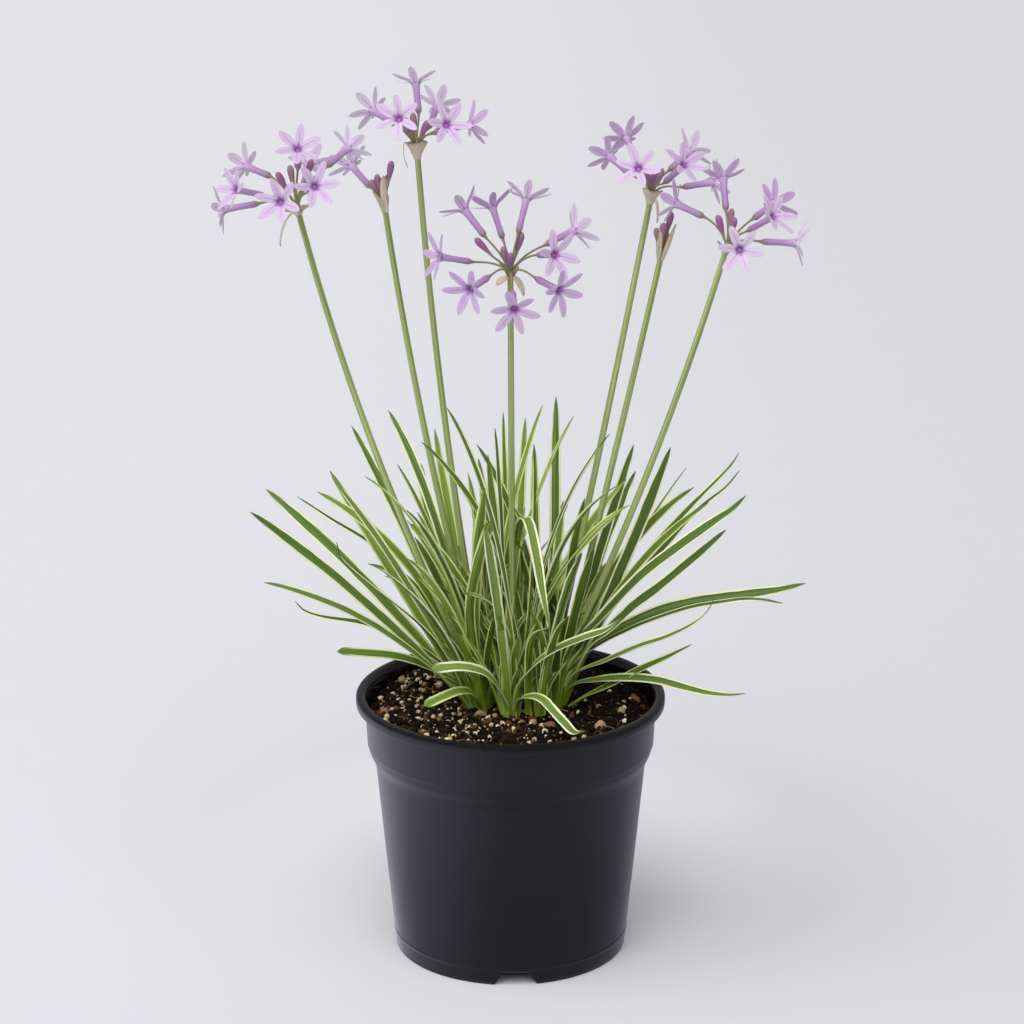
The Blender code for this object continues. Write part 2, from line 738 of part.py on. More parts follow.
def build_spathe(stalk):
    """Two pointed papery bracts, grown together into a collar around the neck."""
    hub, axis = head_frame(stalk)
    across, over = section_axes(axis, along=np.array([0.0, 1.0, 0.0]))
    _, longest = SPATHE_FORMS[stalk.spathe]
    turns = np.arange(SPATHE_SIDES) * 2 * math.pi / SPATHE_SIDES
    angles = turns + math.radians(stalk.spathe_angle)
    lengths = longest * (0.30 + 0.70 * np.cos(turns) ** 4)
    outer, inner = [], []
    for share in (0.0, 0.3, 0.65, 1.0):
        for rings, shift in ((outer, SPATHE_THICKNESS / 2), (inner, -SPATHE_THICKNESS / 2)):
            ring = []
            for angle, length in zip(angles, lengths):
                radius, height = spathe_wall(stalk.spathe, share, length, shift)
                spread = math.cos(angle) * across + math.sin(angle) * over
                ring.append(hub + axis * height + radius * spread)
            rings.append(ring)
    builder = bmesh.new()
    loops = [[builder.verts.new(point) for point in ring] for ring in outer + inner[::-1]]
    loops.append(loops[0])
    for number, (lower, upper) in enumerate(zip(loops, loops[1:])):
        for i in range(SPATHE_SIDES):
            split_quad(builder, lower, upper, i, (i + 1) % SPATHE_SIDES, rising=number < len(outer))
    add_object("spathe_" + stalk.name, builder, "spathe")


def build():
    clear_scene()
    build_pot()
    build_soil()
    for name, crown in CROWNS.items():
        build_crown(name, crown)
    for leaf in LEAVES:
        build_leaf(leaf)
    for stalk in STALKS:
        build_stalk(stalk)
        build_umbel(stalk)
        build_spathe(stalk)


build()
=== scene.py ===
"""Looks of a variegated society garlic in its nursery pot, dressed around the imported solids.

Lengths in the classes below are millimetres in the part's own frame: the pot stands on height 0,
its axis is the Z axis, and the front is towards -Y. Skin.mesh turns them into metres.
"""

import logging
import math
from dataclasses import dataclass, field
from enum import Enum

import bpy
import numpy as np
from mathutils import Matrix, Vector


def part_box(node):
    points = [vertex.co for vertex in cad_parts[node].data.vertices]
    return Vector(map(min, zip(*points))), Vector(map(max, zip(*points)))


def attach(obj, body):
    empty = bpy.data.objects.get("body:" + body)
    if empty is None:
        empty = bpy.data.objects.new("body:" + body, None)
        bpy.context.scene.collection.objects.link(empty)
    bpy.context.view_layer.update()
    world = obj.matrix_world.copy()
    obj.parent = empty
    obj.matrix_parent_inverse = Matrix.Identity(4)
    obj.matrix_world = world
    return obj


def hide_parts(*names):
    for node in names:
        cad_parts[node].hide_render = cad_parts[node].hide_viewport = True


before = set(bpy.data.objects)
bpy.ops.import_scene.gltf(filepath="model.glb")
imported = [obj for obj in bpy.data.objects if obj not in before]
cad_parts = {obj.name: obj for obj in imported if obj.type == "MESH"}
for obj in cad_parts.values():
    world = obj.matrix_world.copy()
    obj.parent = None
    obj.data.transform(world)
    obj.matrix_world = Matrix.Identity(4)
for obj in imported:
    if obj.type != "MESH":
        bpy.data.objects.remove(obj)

Material = bpy.types.Material
Socket = bpy.types.NodeSocket
Array = np.ndarray
Random = np.random.Generator
Colour = tuple[float, float, float, float]
Point = tuple[float, float, float]

LOG = logging.getLogger("society_garlic")
MM = 0.001
UP = np.array([0.0, 0.0, 1.0])
CROWN_SHARE = 0.99
"""Share of a crown's radius that its faceted solid reaches."""


class Slot(Enum):
    """Material slots of the part's record."""

    POT = "pot"
    SOIL = "soil"
    CROWN = "crown"
    LEAF = "leaf"
    STALK = "stalk"
    SPATHE = "spathe"
    UMBEL = "umbel"


class BladeEnd(Enum):
    """How a leaf ends: the share of its length at which it starts to narrow, and how bluntly."""

    TAPERED = (0.78, 1.8, 0.74)
    SLENDER = (0.58, 1.6, 0.75)
    BLUNT = (0.93, 2.2, 0.5)


# ---- Vectors and paths ----


def unit(vectors: Array) -> Array:
    """Vectors of length one along the last axis."""
    vectors = np.asarray(vectors, float)
    return vectors / np.maximum(np.linalg.norm(vectors, axis=-1, keepdims=True), 1e-12)


def smooth(value: Array, low: float, high: float) -> Array:
    """0 below low, 1 above high, and the cubic 3t^2 - 2t^3 between them."""
    share = np.clip((np.asarray(value, float) - low) / (high - low), 0.0, 1.0)
    return share * share * (3 - 2 * share)


def bezier(controls: Array, shares: Array) -> Array:
    """Points of a Bezier curve of any degree.

    Each control is weighted by (n over k) times share^k times (1 - share)^(n - k).

    Args:
        controls: The curve's control points, one a row.
        shares: Where on the curve, from 0 to 1.

    Returns:
        One point for each share.
    """
    controls = np.asarray(controls, float)
    powers = np.arange(len(controls))
    ways = np.array([math.comb(len(controls) - 1, power) for power in powers])
    run = np.asarray(shares, float)[:, None]
    return (ways * run**powers * (1 - run) ** powers[::-1]) @ controls


def through(knots: Array, pieces: int = 24) -> Array:
    """A dense smooth path through knots.

    Between two knots b and c, with neighbours a and d, it is the Catmull-Rom cubic
    (2b + (c - a)t + (2a - 5b + 4c - d)t^2 + (3b - 3c + d - a)t^3) / 2.

    Args:
        knots: The points that the path passes, one a row.
        pieces: How many points lie in each stretch.

    Returns:
        The path's points in order.
    """
    knots = np.asarray(knots, float)
    padded = np.concatenate([[2 * knots[0] - knots[1]], knots, [2 * knots[-1] - knots[-2]]])
    a, b, c, d = padded[:-3, None], padded[1:-2, None], padded[2:-1, None], padded[3:, None]
    t = np.linspace(0, 1, pieces, endpoint=False)[None, :, None]
    cubic = 2 * b + (c - a) * t + (2 * a - 5 * b + 4 * c - d) * t**2
    cubic = (cubic + (3 * b - 3 * c + d - a) * t**3) / 2
    return np.concatenate([cubic.reshape(-1, 3), knots[-1:]])


def running(steps: Array) -> Array:
    """The running sum of steps, which starts with nought."""
    return np.concatenate([[0.0], np.cumsum(steps)])


def along(path: Array, shares: Array) -> Array:
    """Points of a dense path at shares of its own length."""
    steps = np.linalg.norm(np.diff(path, axis=0), axis=1)
    run = running(steps) / steps.sum()
    return np.stack([np.interp(shares, run, path[:, axis]) for axis in range(3)], axis=1)


def round_turn(sides: int) -> Array:
    """Angles in radians of so many places round a full turn."""
    return np.arange(sides) * 2 * math.pi / sides


def section_axes(direction: Array, level: Array = UP) -> tuple[Array, Array]:
    """Two axes square to a direction: one square to level too, and one that completes the three."""
    across = unit(np.cross(level, direction))
    return across, np.cross(direction, across)


def turned(radius: Array, height: Array, angles: Array) -> Array:
    """Points at a radius and a height, turned round the Z axis by angles."""
    places = np.broadcast_arrays(radius * np.cos(angles), radius * np.sin(angles), height)
    return np.stack(places, axis=-1)


def arched(start: Array, end: Array, arch: float) -> Array:
    """The knee of a quadratic curve whose middle stands its arch over the line to its end."""
    line = unit(end - start)
    return (start + end) / 2 + 2 * arch * unit(UP - line * line[2])


def ring_round(turns: Array, across: Array, over: Array) -> Array:
    """Directions at turns in a plane: the cosine along one axis and the sine along the other."""
    return np.cos(turns)[..., None] * across + np.sin(turns)[..., None] * over


def carried_axes(path: Array) -> tuple[Array, Array]:
    """Two axes square to each step of a path, which keep their side as the path bends."""
    run = unit(np.gradient(path, axis=0))
    whole = unit(path[-1] - path[0])
    steady = np.eye(3)[np.argmin(np.abs(whole))]
    across = unit(np.cross(steady, run))
    return across, np.cross(run, across)


def linear(code: str) -> Colour:
    """A hexadecimal screen colour as linear red, green, blue and alpha."""
    parts = np.array([int(code[at:at + 2], 16) / 255 for at in (1, 3, 5)])
    parts = np.where(parts <= 0.04045, parts / 12.92, ((parts + 0.055) / 1.055) ** 2.4)
    return (*(float(part) for part in parts), 1.0)


def box_of(node: str) -> tuple[Array, Array]:
    """Lowest and highest corner of a solid, in millimetres."""
    low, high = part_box(node)
    return np.round(np.array(low) / MM, 2), np.round(np.array(high) / MM, 2)


# ---- Meshes ----


def enclosed(points: Array, faces: list[Array]) -> float:
    """Six times the volume inside faces, below nought where they face inwards."""
    centred = points - points.mean(axis=0)
    total = 0.0
    for block in faces:
        corners = centred[block]
        for step in range(1, block.shape[1] - 1):
            spread = np.cross(corners[:, step], corners[:, step + 1])
            total += float((corners[:, 0] * spread).sum())
    return total


def grid_faces(index: Array) -> Array:
    """Four-cornered faces between neighbouring rows and columns of a grid of point numbers."""
    near, far = index[:-1], index[1:]
    return np.stack([near[:, :-1], near[:, 1:], far[:, 1:], far[:, :-1]], axis=-1).reshape(-1, 4)


@dataclass
class Skin:
    """Gathers closed sheets, tubes and grains, in millimetres, into one mesh."""

    points: list[Array] = field(default_factory=list)
    corners: list[Array] = field(default_factory=list)
    sizes: list[Array] = field(default_factory=list)
    marks: list[Array] = field(default_factory=list)
    tones: list[Array] = field(default_factory=list)
    count: int = 0

    def add(self, points: Array, faces: list[Array], marks: list[Array], tone: object) -> None:
        """Adds one closed body, and turns it right side out where its volume comes out negative.

        Args:
            points: The body's points, one a row.
            faces: Blocks of faces, each with as many corners as the block has columns.
            marks: For each block, the place of every corner on the body's own surface.
            tone: A number, or one for each point, that the finishes read as a variation.
        """
        if enclosed(points, faces) < 0:
            faces = [block[:, ::-1] for block in faces]
            marks = [block[:, ::-1] for block in marks]
        for block, mark in zip(faces, marks):
            self.corners.append((block + self.count).ravel())
            self.sizes.append(np.full(len(block), block.shape[1]))
            self.marks.append(mark.reshape(-1, 2))
        self.points.append(points)
        self.tones.append(np.broadcast_to(tone, len(points)))
        self.count += len(points)

    def sheet(self, middle: Array, thickness: Array, tone: float) -> None:
        """Adds a thin closed sheet: its middle surface moved both ways by half its thickness.

        On the sheet's own map the upper face takes the left half, from edge to edge, and the
        underside the right half, folded over at the far edge.

        Args:
            middle: Rows along the sheet, columns across it.
            thickness: The sheet's thickness at each point of the middle.
            tone: The sheet's variation.
        """
        rows, columns = middle.shape[:2]
        normal = unit(np.cross(np.gradient(middle, axis=1), np.gradient(middle, axis=0)))
        half = normal * thickness[..., None] / 2
        points = np.concatenate([(middle + half).reshape(-1, 3), (middle - half).reshape(-1, 3)])
        index = np.arange(rows * columns).reshape(rows, columns)
        total = index.size
        upper = grid_faces(index)
        border = (index[0], index[1:, -1], index[-1, -2::-1], index[-2:0:-1, 0])
        rim = np.concatenate(border)
        ahead = np.roll(rim, -1)
        side = np.stack([ahead, rim, rim + total, ahead + total], axis=1)
        x = np.tile(np.linspace(0, 1, columns), rows)
        y = np.repeat(np.linspace(0, 1, rows), columns)
        above = np.stack([x / 2, y], axis=1)
        below = np.stack([1 - x / 2, y], axis=1)
        lower = upper[:, ::-1]
        faces = [np.concatenate([upper, lower + total, side])]
        marks = [np.concatenate([above[upper], below[lower], above[side % total]])]
        self.add(points, faces, marks, tone)

    def tube(self, rings: Array, tone: object) -> None:
        """Adds a closed body through rings of points, with a pole in the middle of each end.

        Args:
            rings: Rows along the body, columns round it.
            tone: The body's variation, or one for each of the rings' points.
        """
        rows, columns = rings.shape[:2]
        index = np.arange(rows * columns).reshape(rows, columns)
        wrapped = np.concatenate([index, index[:, :1]], axis=1)
        poles = np.stack([rings[0].mean(axis=0), rings[-1].mean(axis=0)])
        points = np.concatenate([rings.reshape(-1, 3), poles])
        x = np.linspace(0, 1, columns + 1)
        places = np.stack(np.meshgrid(x, np.linspace(0, 1, rows)), axis=-1)
        numbers = np.arange(places[..., 0].size).reshape(rows, columns + 1)
        quads = grid_faces(wrapped)
        quad_marks = places.reshape(-1, 2)[grid_faces(numbers)]
        first = np.full(columns, index.size)
        start = np.stack([first, wrapped[0, 1:], wrapped[0, :-1]], axis=1)
        finish = np.stack([first + 1, wrapped[-1, :-1], wrapped[-1, 1:]], axis=1)
        mid = (x[1:] + x[:-1]) / 2
        low, high = np.zeros(columns), np.ones(columns)
        start_marks = np.stack([[mid, low], [x[1:], low], [x[:-1], low]]).transpose(2, 0, 1)
        end_marks = np.stack([[mid, high], [x[:-1], high], [x[1:], high]]).transpose(2, 0, 1)
        if np.ndim(tone):
            tone = np.concatenate([np.ravel(tone), [np.ravel(tone)[0], np.ravel(tone)[-1]]])
        caps = np.concatenate([start, finish])
        cap_marks = np.concatenate([start_marks, end_marks])
        self.add(points, [quads, caps], [quad_marks, cap_marks], tone)

    def grains(
        self, centres: Array, sizes: Array, roughness: float, sides: int, rng: Random, tones: Array
    ) -> None:
        """Adds many small lumps at once: balls of latitude rings, stretched, dented and turned.

        Each point of a ball stands at its direction times a random length near one.

        Args:
            centres: The middle of each lump.
            sizes: Half the length of each lump along its own three axes.
            roughness: How strongly its points are dented.
            sides: Points round each ring.
            rng: Where the dents and turns come from.
            tones: The variation of each lump.
        """
        rings = max(2, sides // 2 - 1)
        polar = np.linspace(0, math.pi, rings + 2)[1:-1]
        turns = round_turn(sides)
        ball = np.stack([
            np.outer(np.sin(polar), np.cos(turns)), np.outer(np.sin(polar), np.sin(turns)),
            np.outer(np.cos(polar), np.ones(sides)),
        ], axis=-1).reshape(-1, 3)
        ball = np.concatenate([ball, [[0, 0, 1.0], [0, 0, -1.0]]])
        index = np.arange(rings * sides).reshape(rings, sides)
        wrapped = np.concatenate([index, index[:, :1]], axis=1)
        quads = grid_faces(wrapped)[:, ::-1]
        north = np.full(sides, rings * sides)
        caps = np.concatenate([
            np.stack([north, wrapped[0, :-1], wrapped[0, 1:]], axis=1),
            np.stack([north + 1, wrapped[-1, 1:], wrapped[-1, :-1]], axis=1),
        ])
        number, each = len(centres), len(ball)
        dents = 1 + roughness * rng.uniform(-1, 1, (number, each, 1))
        axes = unit(rng.normal(size=(number, 3)))
        others = unit(np.cross(axes, rng.normal(size=(number, 3))))
        turn = np.stack([axes, others, np.cross(axes, others)], axis=1)
        lumps = (ball * dents * sizes[:, None, :]) @ turn + centres[:, None, :]
        shift = (np.arange(number) * each)[:, None, None]
        blocks = [(block[None] + shift).reshape(-1, block.shape[1]) for block in (quads, caps)]
        marks = [np.zeros((*block.shape, 2)) for block in blocks]
        self.add(lumps.reshape(-1, 3), blocks, marks, np.repeat(tones, each))

    def mesh(self, name: str) -> bpy.types.Mesh:
        """The gathered bodies as one mesh in metres, with their surface places and variation."""
        mesh = bpy.data.meshes.new(name)
        points = np.concatenate(self.points) * MM
        corners = np.concatenate(self.corners).astype(np.int32)
        sizes = np.concatenate(self.sizes)
        mesh.vertices.add(len(points))
        mesh.vertices.foreach_set("co", points.astype(np.float32).ravel())
        mesh.loops.add(len(corners))
        mesh.loops.foreach_set("vertex_index", corners)
        mesh.polygons.add(len(sizes))
        mesh.polygons.foreach_set("loop_start", running(sizes)[:-1].astype(np.int32))
        layer = mesh.uv_layers.new(name="surface")
        layer.uv.foreach_set("vector", np.concatenate(self.marks).astype(np.float32).ravel())
        tone = mesh.attributes.new("tone", "FLOAT", "POINT")
        tone.data.foreach_set("value", np.concatenate(self.tones).astype(np.float32))
        mesh.update(calc_edges=True)
        mesh.validate()
        return mesh

    def make(
        self, name: str, finish: Material, nodes: tuple[str, ...] = (),
        crease: float = 50.0,
    ) -> bpy.types.Object:
        """Makes the gathered bodies one piece that rides on the part.

        Args:
            name: The piece's name.
            finish: Its material.
            nodes: Solids of the part that the piece stands for.
            crease: Angle in degrees above which an edge stays sharp.

        Returns:
            The piece's object, at the origin, with its place in its mesh.
        """
        mesh = self.mesh(name)
        mesh.shade_smooth()
        mesh.set_sharp_from_angle(angle=math.radians(crease))
        mesh.materials.append(finish)
        piece = bpy.data.objects.new(name, mesh)
        bpy.context.collection.objects.link(piece)
        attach(piece, "root")
        if nodes:
            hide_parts(*nodes)
        LOG.info("%s: %d points, %d faces", name, len(mesh.vertices), len(mesh.polygons))
        return piece


# ---- Shader graphs ----


class Shader:
    """Writes the node graph of one material."""

    def __init__(self, name: str) -> None:
        """Starts a material with nothing but its surface shader."""
        self.material = bpy.data.materials.new(name)
        self.material.use_nodes = True
        self.tree = self.material.node_tree
        self.surface = self.tree.nodes["Principled BSDF"]

    def plug(self, socket: Socket, value: object) -> None:
        """Links a socket to another one, or sets it to a value or a hexadecimal colour."""
        if isinstance(value, Socket):
            self.tree.links.new(value, socket)
        else:
            socket.default_value = linear(value) if isinstance(value, str) else value

    def maths(self, operation: str, *values: object) -> Socket:
        """The result of a Math node of that operation on up to three values."""
        node = self.tree.nodes.new("ShaderNodeMath")
        node.operation = operation
        for socket, value in zip(node.inputs, values):
            self.plug(socket, value)
        return node.outputs[0]

    def times(self, first: object, second: object) -> Socket:
        """The product of two values."""
        return self.maths("MULTIPLY", first, second)

    def scaled(self, value: object, factor: object, plus: object) -> Socket:
        """A value times a factor, plus another value."""
        return self.maths("MULTIPLY_ADD", value, factor, plus)

    def less(self, value: object) -> Socket:
        """One less a value."""
        return self.maths("SUBTRACT", 1.0, value)

    def mixed(self, share: object, first: object, second: object) -> Socket:
        """A colour that goes from first to second as share goes from 0 to 1."""
        node = self.tree.nodes.new("ShaderNodeMix")
        node.data_type = "RGBA"
        self.plug(node.inputs["Factor"], share)
        self.plug(node.inputs[6], first)
        self.plug(node.inputs[7], second)
        return node.outputs[2]

    def step(self, value: object, low: float, high: float) -> Socket:
        """0 where a value is under low, 1 where it is over high, and smooth between them."""
        node = self.tree.nodes.new("ShaderNodeMapRange")
        node.interpolation_type = "SMOOTHSTEP"
        self.plug(node.inputs["Value"], value)
        node.inputs["From Min"].default_value = low
        node.inputs["From Max"].default_value = high
        return node.outputs["Result"]

    def vector(self, x: object, y: object, z: object) -> Socket:
        """Three values as one vector."""
        node = self.tree.nodes.new("ShaderNodeCombineXYZ")
        for socket, value in zip(node.inputs, (x, y, z)):
            self.plug(socket, value)
        return node.outputs[0]

    def noise(
        self, place: object, scale: float, detail: float = 3.0, roughness: float = 0.5
    ) -> Socket:
        """Fractal noise about 0.5 at a place."""
        node = self.tree.nodes.new("ShaderNodeTexNoise")
        self.plug(node.inputs["Vector"], place)
        node.inputs["Scale"].default_value = scale
        node.inputs["Detail"].default_value = detail
        node.inputs["Roughness"].default_value = roughness
        return node.outputs["Fac"]

    def streaks(
        self, across: object, run: object, fine: float, drawn: float, apart: float,
        detail: float = 3.0, roughness: float = 0.6,
    ) -> Socket:
        """Noise drawn out along a surface.

        Args:
            across: The place across the surface.
            run: The place along it.
            fine: How many streaks lie across the surface.
            drawn: How often they change along it.
            apart: How far the tone moves one body's streaks from another's.
            detail: How many finer layers lie on them.
            roughness: How strong the finer layers are.

        Returns:
            The noise, about 0.5.
        """
        apart = self.times(self.tone(), apart)
        place = self.vector(self.times(across, fine), self.times(run, drawn), apart)
        return self.noise(place, 1.0, detail, roughness)

    def edge(self, across: object) -> Socket:
        """0 at both edges of a sheet and 1 in its middle."""
        return self.maths("PINGPONG", self.times(across, 2.0), 1.0)

    def tone(self) -> Socket:
        """The variation that the mesh carries."""
        node = self.tree.nodes.new("ShaderNodeAttribute")
        node.attribute_name = "tone"
        return node.outputs["Fac"]

    def in_space(self) -> Socket:
        """The place in the part's frame, in metres."""
        return self.tree.nodes.new("ShaderNodeTexCoord").outputs["Object"]

    def on_surface(self) -> tuple[Socket, Socket]:
        """The place round or across the piece's own surface, and the place along it."""
        node = self.tree.nodes.new("ShaderNodeUVMap")
        node.uv_map = "surface"
        parts = self.tree.nodes.new("ShaderNodeSeparateXYZ")
        self.plug(parts.inputs[0], node.outputs[0])
        return parts.outputs[0], parts.outputs[1]

    def on_sheet(self) -> tuple[Socket, Socket, Socket]:
        """Where on a sheet: across it from 0 to 1, along it, and 1 on its underside."""
        mark, run = self.on_surface()
        folded = self.maths("ABSOLUTE", self.scaled(mark, -2.0, 1.0))
        return self.less(folded), run, self.maths("GREATER_THAN", mark, 0.5)

    def over_floor(self) -> tuple[Socket, Socket]:
        """How far right and how far behind the pot's axis a place lies, in metres."""
        parts = self.tree.nodes.new("ShaderNodeSeparateXYZ")
        self.plug(parts.inputs[0], self.in_space())
        return parts.outputs[0], parts.outputs[1]

    def dress(
        self, colour: object, roughness: object, specular: float, height: object = None,
        depth: float = 0.0, **settings: object,
    ) -> Material:
        """Finishes the material.

        Args:
            colour: The base colour.
            roughness: The surface roughness.
            specular: How much it mirrors, with 0.5 for a common plastic.
            height: The relief, about 0 to 1, that the light falls on.
            depth: How deep the relief is, in millimetres.
            settings: Other sockets of the surface by name, with _ for a space.

        Returns:
            The material.
        """
        self.plug(self.surface.inputs["Base Color"], colour)
        self.plug(self.surface.inputs["Roughness"], roughness)
        self.plug(self.surface.inputs["Specular IOR Level"], specular)
        if height is not None:
            bump = self.tree.nodes.new("ShaderNodeBump")
            bump.inputs["Strength"].default_value = 1.0
            bump.inputs["Distance"].default_value = depth * MM
            self.plug(bump.inputs["Height"], height)
            self.plug(self.surface.inputs["Normal"], bump.outputs["Normal"])
        for name, value in settings.items():
            self.plug(self.surface.inputs[name.replace("_", " ")], value)
        return self.material


@dataclass(frozen=True)
class PotPlastic:
    """Satin black moulded plastic, with faint flow lines and rubbed, dusty high places."""

    black: str = "#0b0a0f"
    bloom: str = "#19181f"

    def material(self) -> Material:
        """The finish as a material."""
        shader = Shader("moulded_black_plastic")
        place = shader.in_space()
        cloud = shader.noise(place, 22.0, detail=5.0, roughness=0.6)
        grain = shader.noise(place, 1400.0, detail=2.0)
        scuff = shader.step(shader.noise(place, 160.0, detail=6.0, roughness=0.7), 0.58, 0.75)
        share = shader.scaled(scuff, 0.35, shader.times(cloud, 0.5))
        colour = shader.mixed(share, self.black, self.bloom)
        roughness = shader.scaled(cloud, 0.12, 0.15)
        return shader.dress(colour, roughness, 0.38, grain, 0.02)


@dataclass(frozen=True)
class EarthFinish:
    """Damp peat: dark crumbs and browner fibre, picked out by the tone that each lump carries, which
    also holds painted shade towards the soil's right.
    """

    name: str = "damp_peat"
    dark: str = "#0f0a07"
    brown: str = "#4b3523"
    roughness: float = 0.85

    def material(self) -> Material:
        """The finish as a material."""
        shader = Shader(self.name)
        place = shader.in_space()
        coarse = shader.noise(place, 210.0, detail=5.0, roughness=0.6)
        fine = shader.noise(place, 1300.0, detail=4.0, roughness=0.65)
        # The tone holds chance variation and painted shade, which darkens the soil towards its right.
        share = shader.times(shader.step(coarse, 0.42, 0.68), shader.tone())
        share = shader.scaled(shader.step(fine, 0.45, 0.7), 0.25, share)
        colour = shader.mixed(share, self.dark, self.brown)
        return shader.dress(colour, self.roughness, 0.25, fine, 0.5)


@dataclass(frozen=True)
class GrainFinish:
    """Pale or brown grains in the soil, stained by it, with a rough skin."""

    name: str
    pale: str
    warm: str
    stain: str
    roughness: float = 0.8

    def material(self) -> Material:
        """The finish as a material."""
        shader = Shader(self.name)
        place = shader.in_space()
        skin = shader.noise(place, 900.0, detail=4.0, roughness=0.65)
        body = shader.mixed(shader.tone(), self.pale, self.warm)
        dirt = shader.step(shader.noise(place, 420.0, detail=4.0, roughness=0.7), 0.56, 0.72)
        colour = shader.mixed(shader.times(dirt, 0.8), body, self.stain)
        return shader.dress(colour, self.roughness, 0.3, skin, 0.25)


@dataclass(frozen=True)
class LeafFinish:
    """A variegated leaf: cream margins round a body of lengthwise green streaks.

    The tone that each leaf carries is how light it is, from 0 for a dark leaf to 1 for a light one:
    partly the leaf's own colour and partly painted shade, kept low in the tuft on the right, away from
    the key light.
    """

    name: str = "variegated_leaf"
    green: str = "#6b883b"
    dark: str = "#28420f"
    light: str = "#a5c062"
    margin: str = "#f3f5c9"
    margin_foot: str = "#d9e392"
    # Yellow-green of the leaves' feet: partly their own colour, partly painted shade that darkens them
    # where they crowd at the crown.
    foot: str = "#86a028"
    underside: str = "#7d9455"
    margin_share: float = 0.24

    def body(self, shader: Shader, across: object, run: object, below: object) -> Socket:
        """The green body: wide and fine streaks, darker or lighter from leaf to leaf."""
        tone = shader.tone()
        wide = shader.streaks(across, run, fine=7.0, drawn=1.4, apart=37.0)
        fine = shader.streaks(across, run, fine=30.0, drawn=2.0, apart=37.0, detail=2.0,
                              roughness=0.5)
        body = shader.mixed(shader.step(wide, 0.36, 0.62), self.dark, self.green)
        lighter = shader.times(shader.step(fine, 0.5, 0.72), 0.5)
        body = shader.mixed(lighter, body, self.light)
        # Lighter and darker leaves by their tone: partly their own colour and partly painted shade.
        young = shader.times(shader.step(tone, 0.45, 1.0), 0.5)
        body = shader.mixed(young, body, self.light)
        dark_share = shader.times(shader.step(tone, 0.55, 0.0), 0.7)
        body = shader.mixed(dark_share, body, self.dark)
        return shader.mixed(shader.times(below, 0.25), body, self.underside)

    def margin_cover(self, shader: Shader, across: object, run: object) -> Socket:
        """1 in the cream margins, whose width wanders on each side and differs between leaves."""
        tone = shader.tone()
        edge = shader.edge(across)
        side = shader.maths("GREATER_THAN", across, 0.5)
        place = shader.vector(
            shader.times(run, 4.0), shader.times(side, 9.0), shader.times(tone, 91.0)
        )
        wander = shader.noise(place, 1.0, detail=3.0, roughness=0.6)
        offset = shader.scaled(wander, -0.8, 0.4)
        offset = shader.scaled(tone, -0.15, offset)
        edge = shader.maths("ADD", edge, offset)
        margin = shader.step(edge, self.margin_share + 0.07, self.margin_share - 0.04)
        return shader.times(margin, shader.step(run, 0.98, 0.9))

    def material(self) -> Material:
        """The finish as a material."""
        shader = Shader(self.name)
        across, run, below = shader.on_sheet()
        tone = shader.tone()
        body = self.body(shader, across, run, below)
        # The feet take the foot colour, which carries painted shade for the crowded crown.
        reach = shader.scaled(tone, 0.34, 0.38)
        foot = shader.step(shader.maths("DIVIDE", run, reach), 1.0, 0.08)
        body = shader.mixed(shader.times(foot, 0.8), body, self.foot)
        margin = self.margin_cover(shader, across, run)
        margin = shader.times(margin, shader.scaled(foot, -0.5, 1.0))
        cream = shader.mixed(foot, self.margin, self.margin_foot)
        colour = shader.mixed(margin, body, cream)
        grain_place = shader.vector(shader.times(across, 30.0), run, tone)
        grain = shader.noise(grain_place, 1.0, detail=2.0)
        roughness = shader.scaled(grain, 0.18, 0.40)
        return shader.dress(
            colour, roughness, 0.22, grain, 0.12, Subsurface_Weight=0.08,
            Subsurface_Scale=0.0012, Subsurface_Radius=(0.6, 1.0, 0.3),
        )


@dataclass(frozen=True)
class StalkFinish:
    """A flower stalk: pale green with lighter and darker lengthwise lines and a waxy bloom."""

    middle: str = "#98a764"
    light: str = "#bfca89"
    dark: str = "#6c8046"
    foot: str = "#93a84a"

    def material(self) -> Material:
        """The finish as a material."""
        shader = Shader("striped_stalk")
        around, run = shader.on_surface()
        circle = shader.times(around, 2 * math.pi)
        place = shader.vector(
            shader.times(shader.maths("COSINE", circle), 2.6),
            shader.times(shader.maths("SINE", circle), 2.6),
            shader.scaled(run, 2.5, shader.times(shader.tone(), 19.0)),
        )
        lines = shader.noise(place, 1.0, detail=4.0, roughness=0.6)
        colour = shader.mixed(shader.step(lines, 0.28, 0.5), self.dark, self.middle)
        colour = shader.mixed(shader.step(lines, 0.5, 0.72), colour, self.light)
        foot = shader.maths("SUBTRACT", 0.8, shader.times(shader.step(run, 0.0, 0.3), 0.8))
        colour = shader.mixed(foot, colour, self.foot)
        roughness = shader.scaled(lines, 0.2, 0.35)
        return shader.dress(colour, roughness, 0.4, lines, 0.08, Subsurface_Weight=0.06,
                            Subsurface_Scale=0.0015)


@dataclass(frozen=True)
class StemFinish:
    """The thin stems in a head: dusky olive, reddened by sun on one part or another."""

    olive: str = "#8f9662"
    red: str = "#8c6e68"

    def material(self) -> Material:
        """The finish as a material."""
        shader = Shader("dusky_stem")
        _, run = shader.on_surface()
        stain = shader.noise(shader.in_space(), 90.0, detail=4.0, roughness=0.6)
        share = shader.scaled(run, 0.55, shader.scaled(stain, 1.4, -0.6))
        colour = shader.mixed(shader.step(share, 0.0, 1.0), self.olive, self.red)
        return shader.dress(colour, 0.45, 0.4, stain, 0.05)


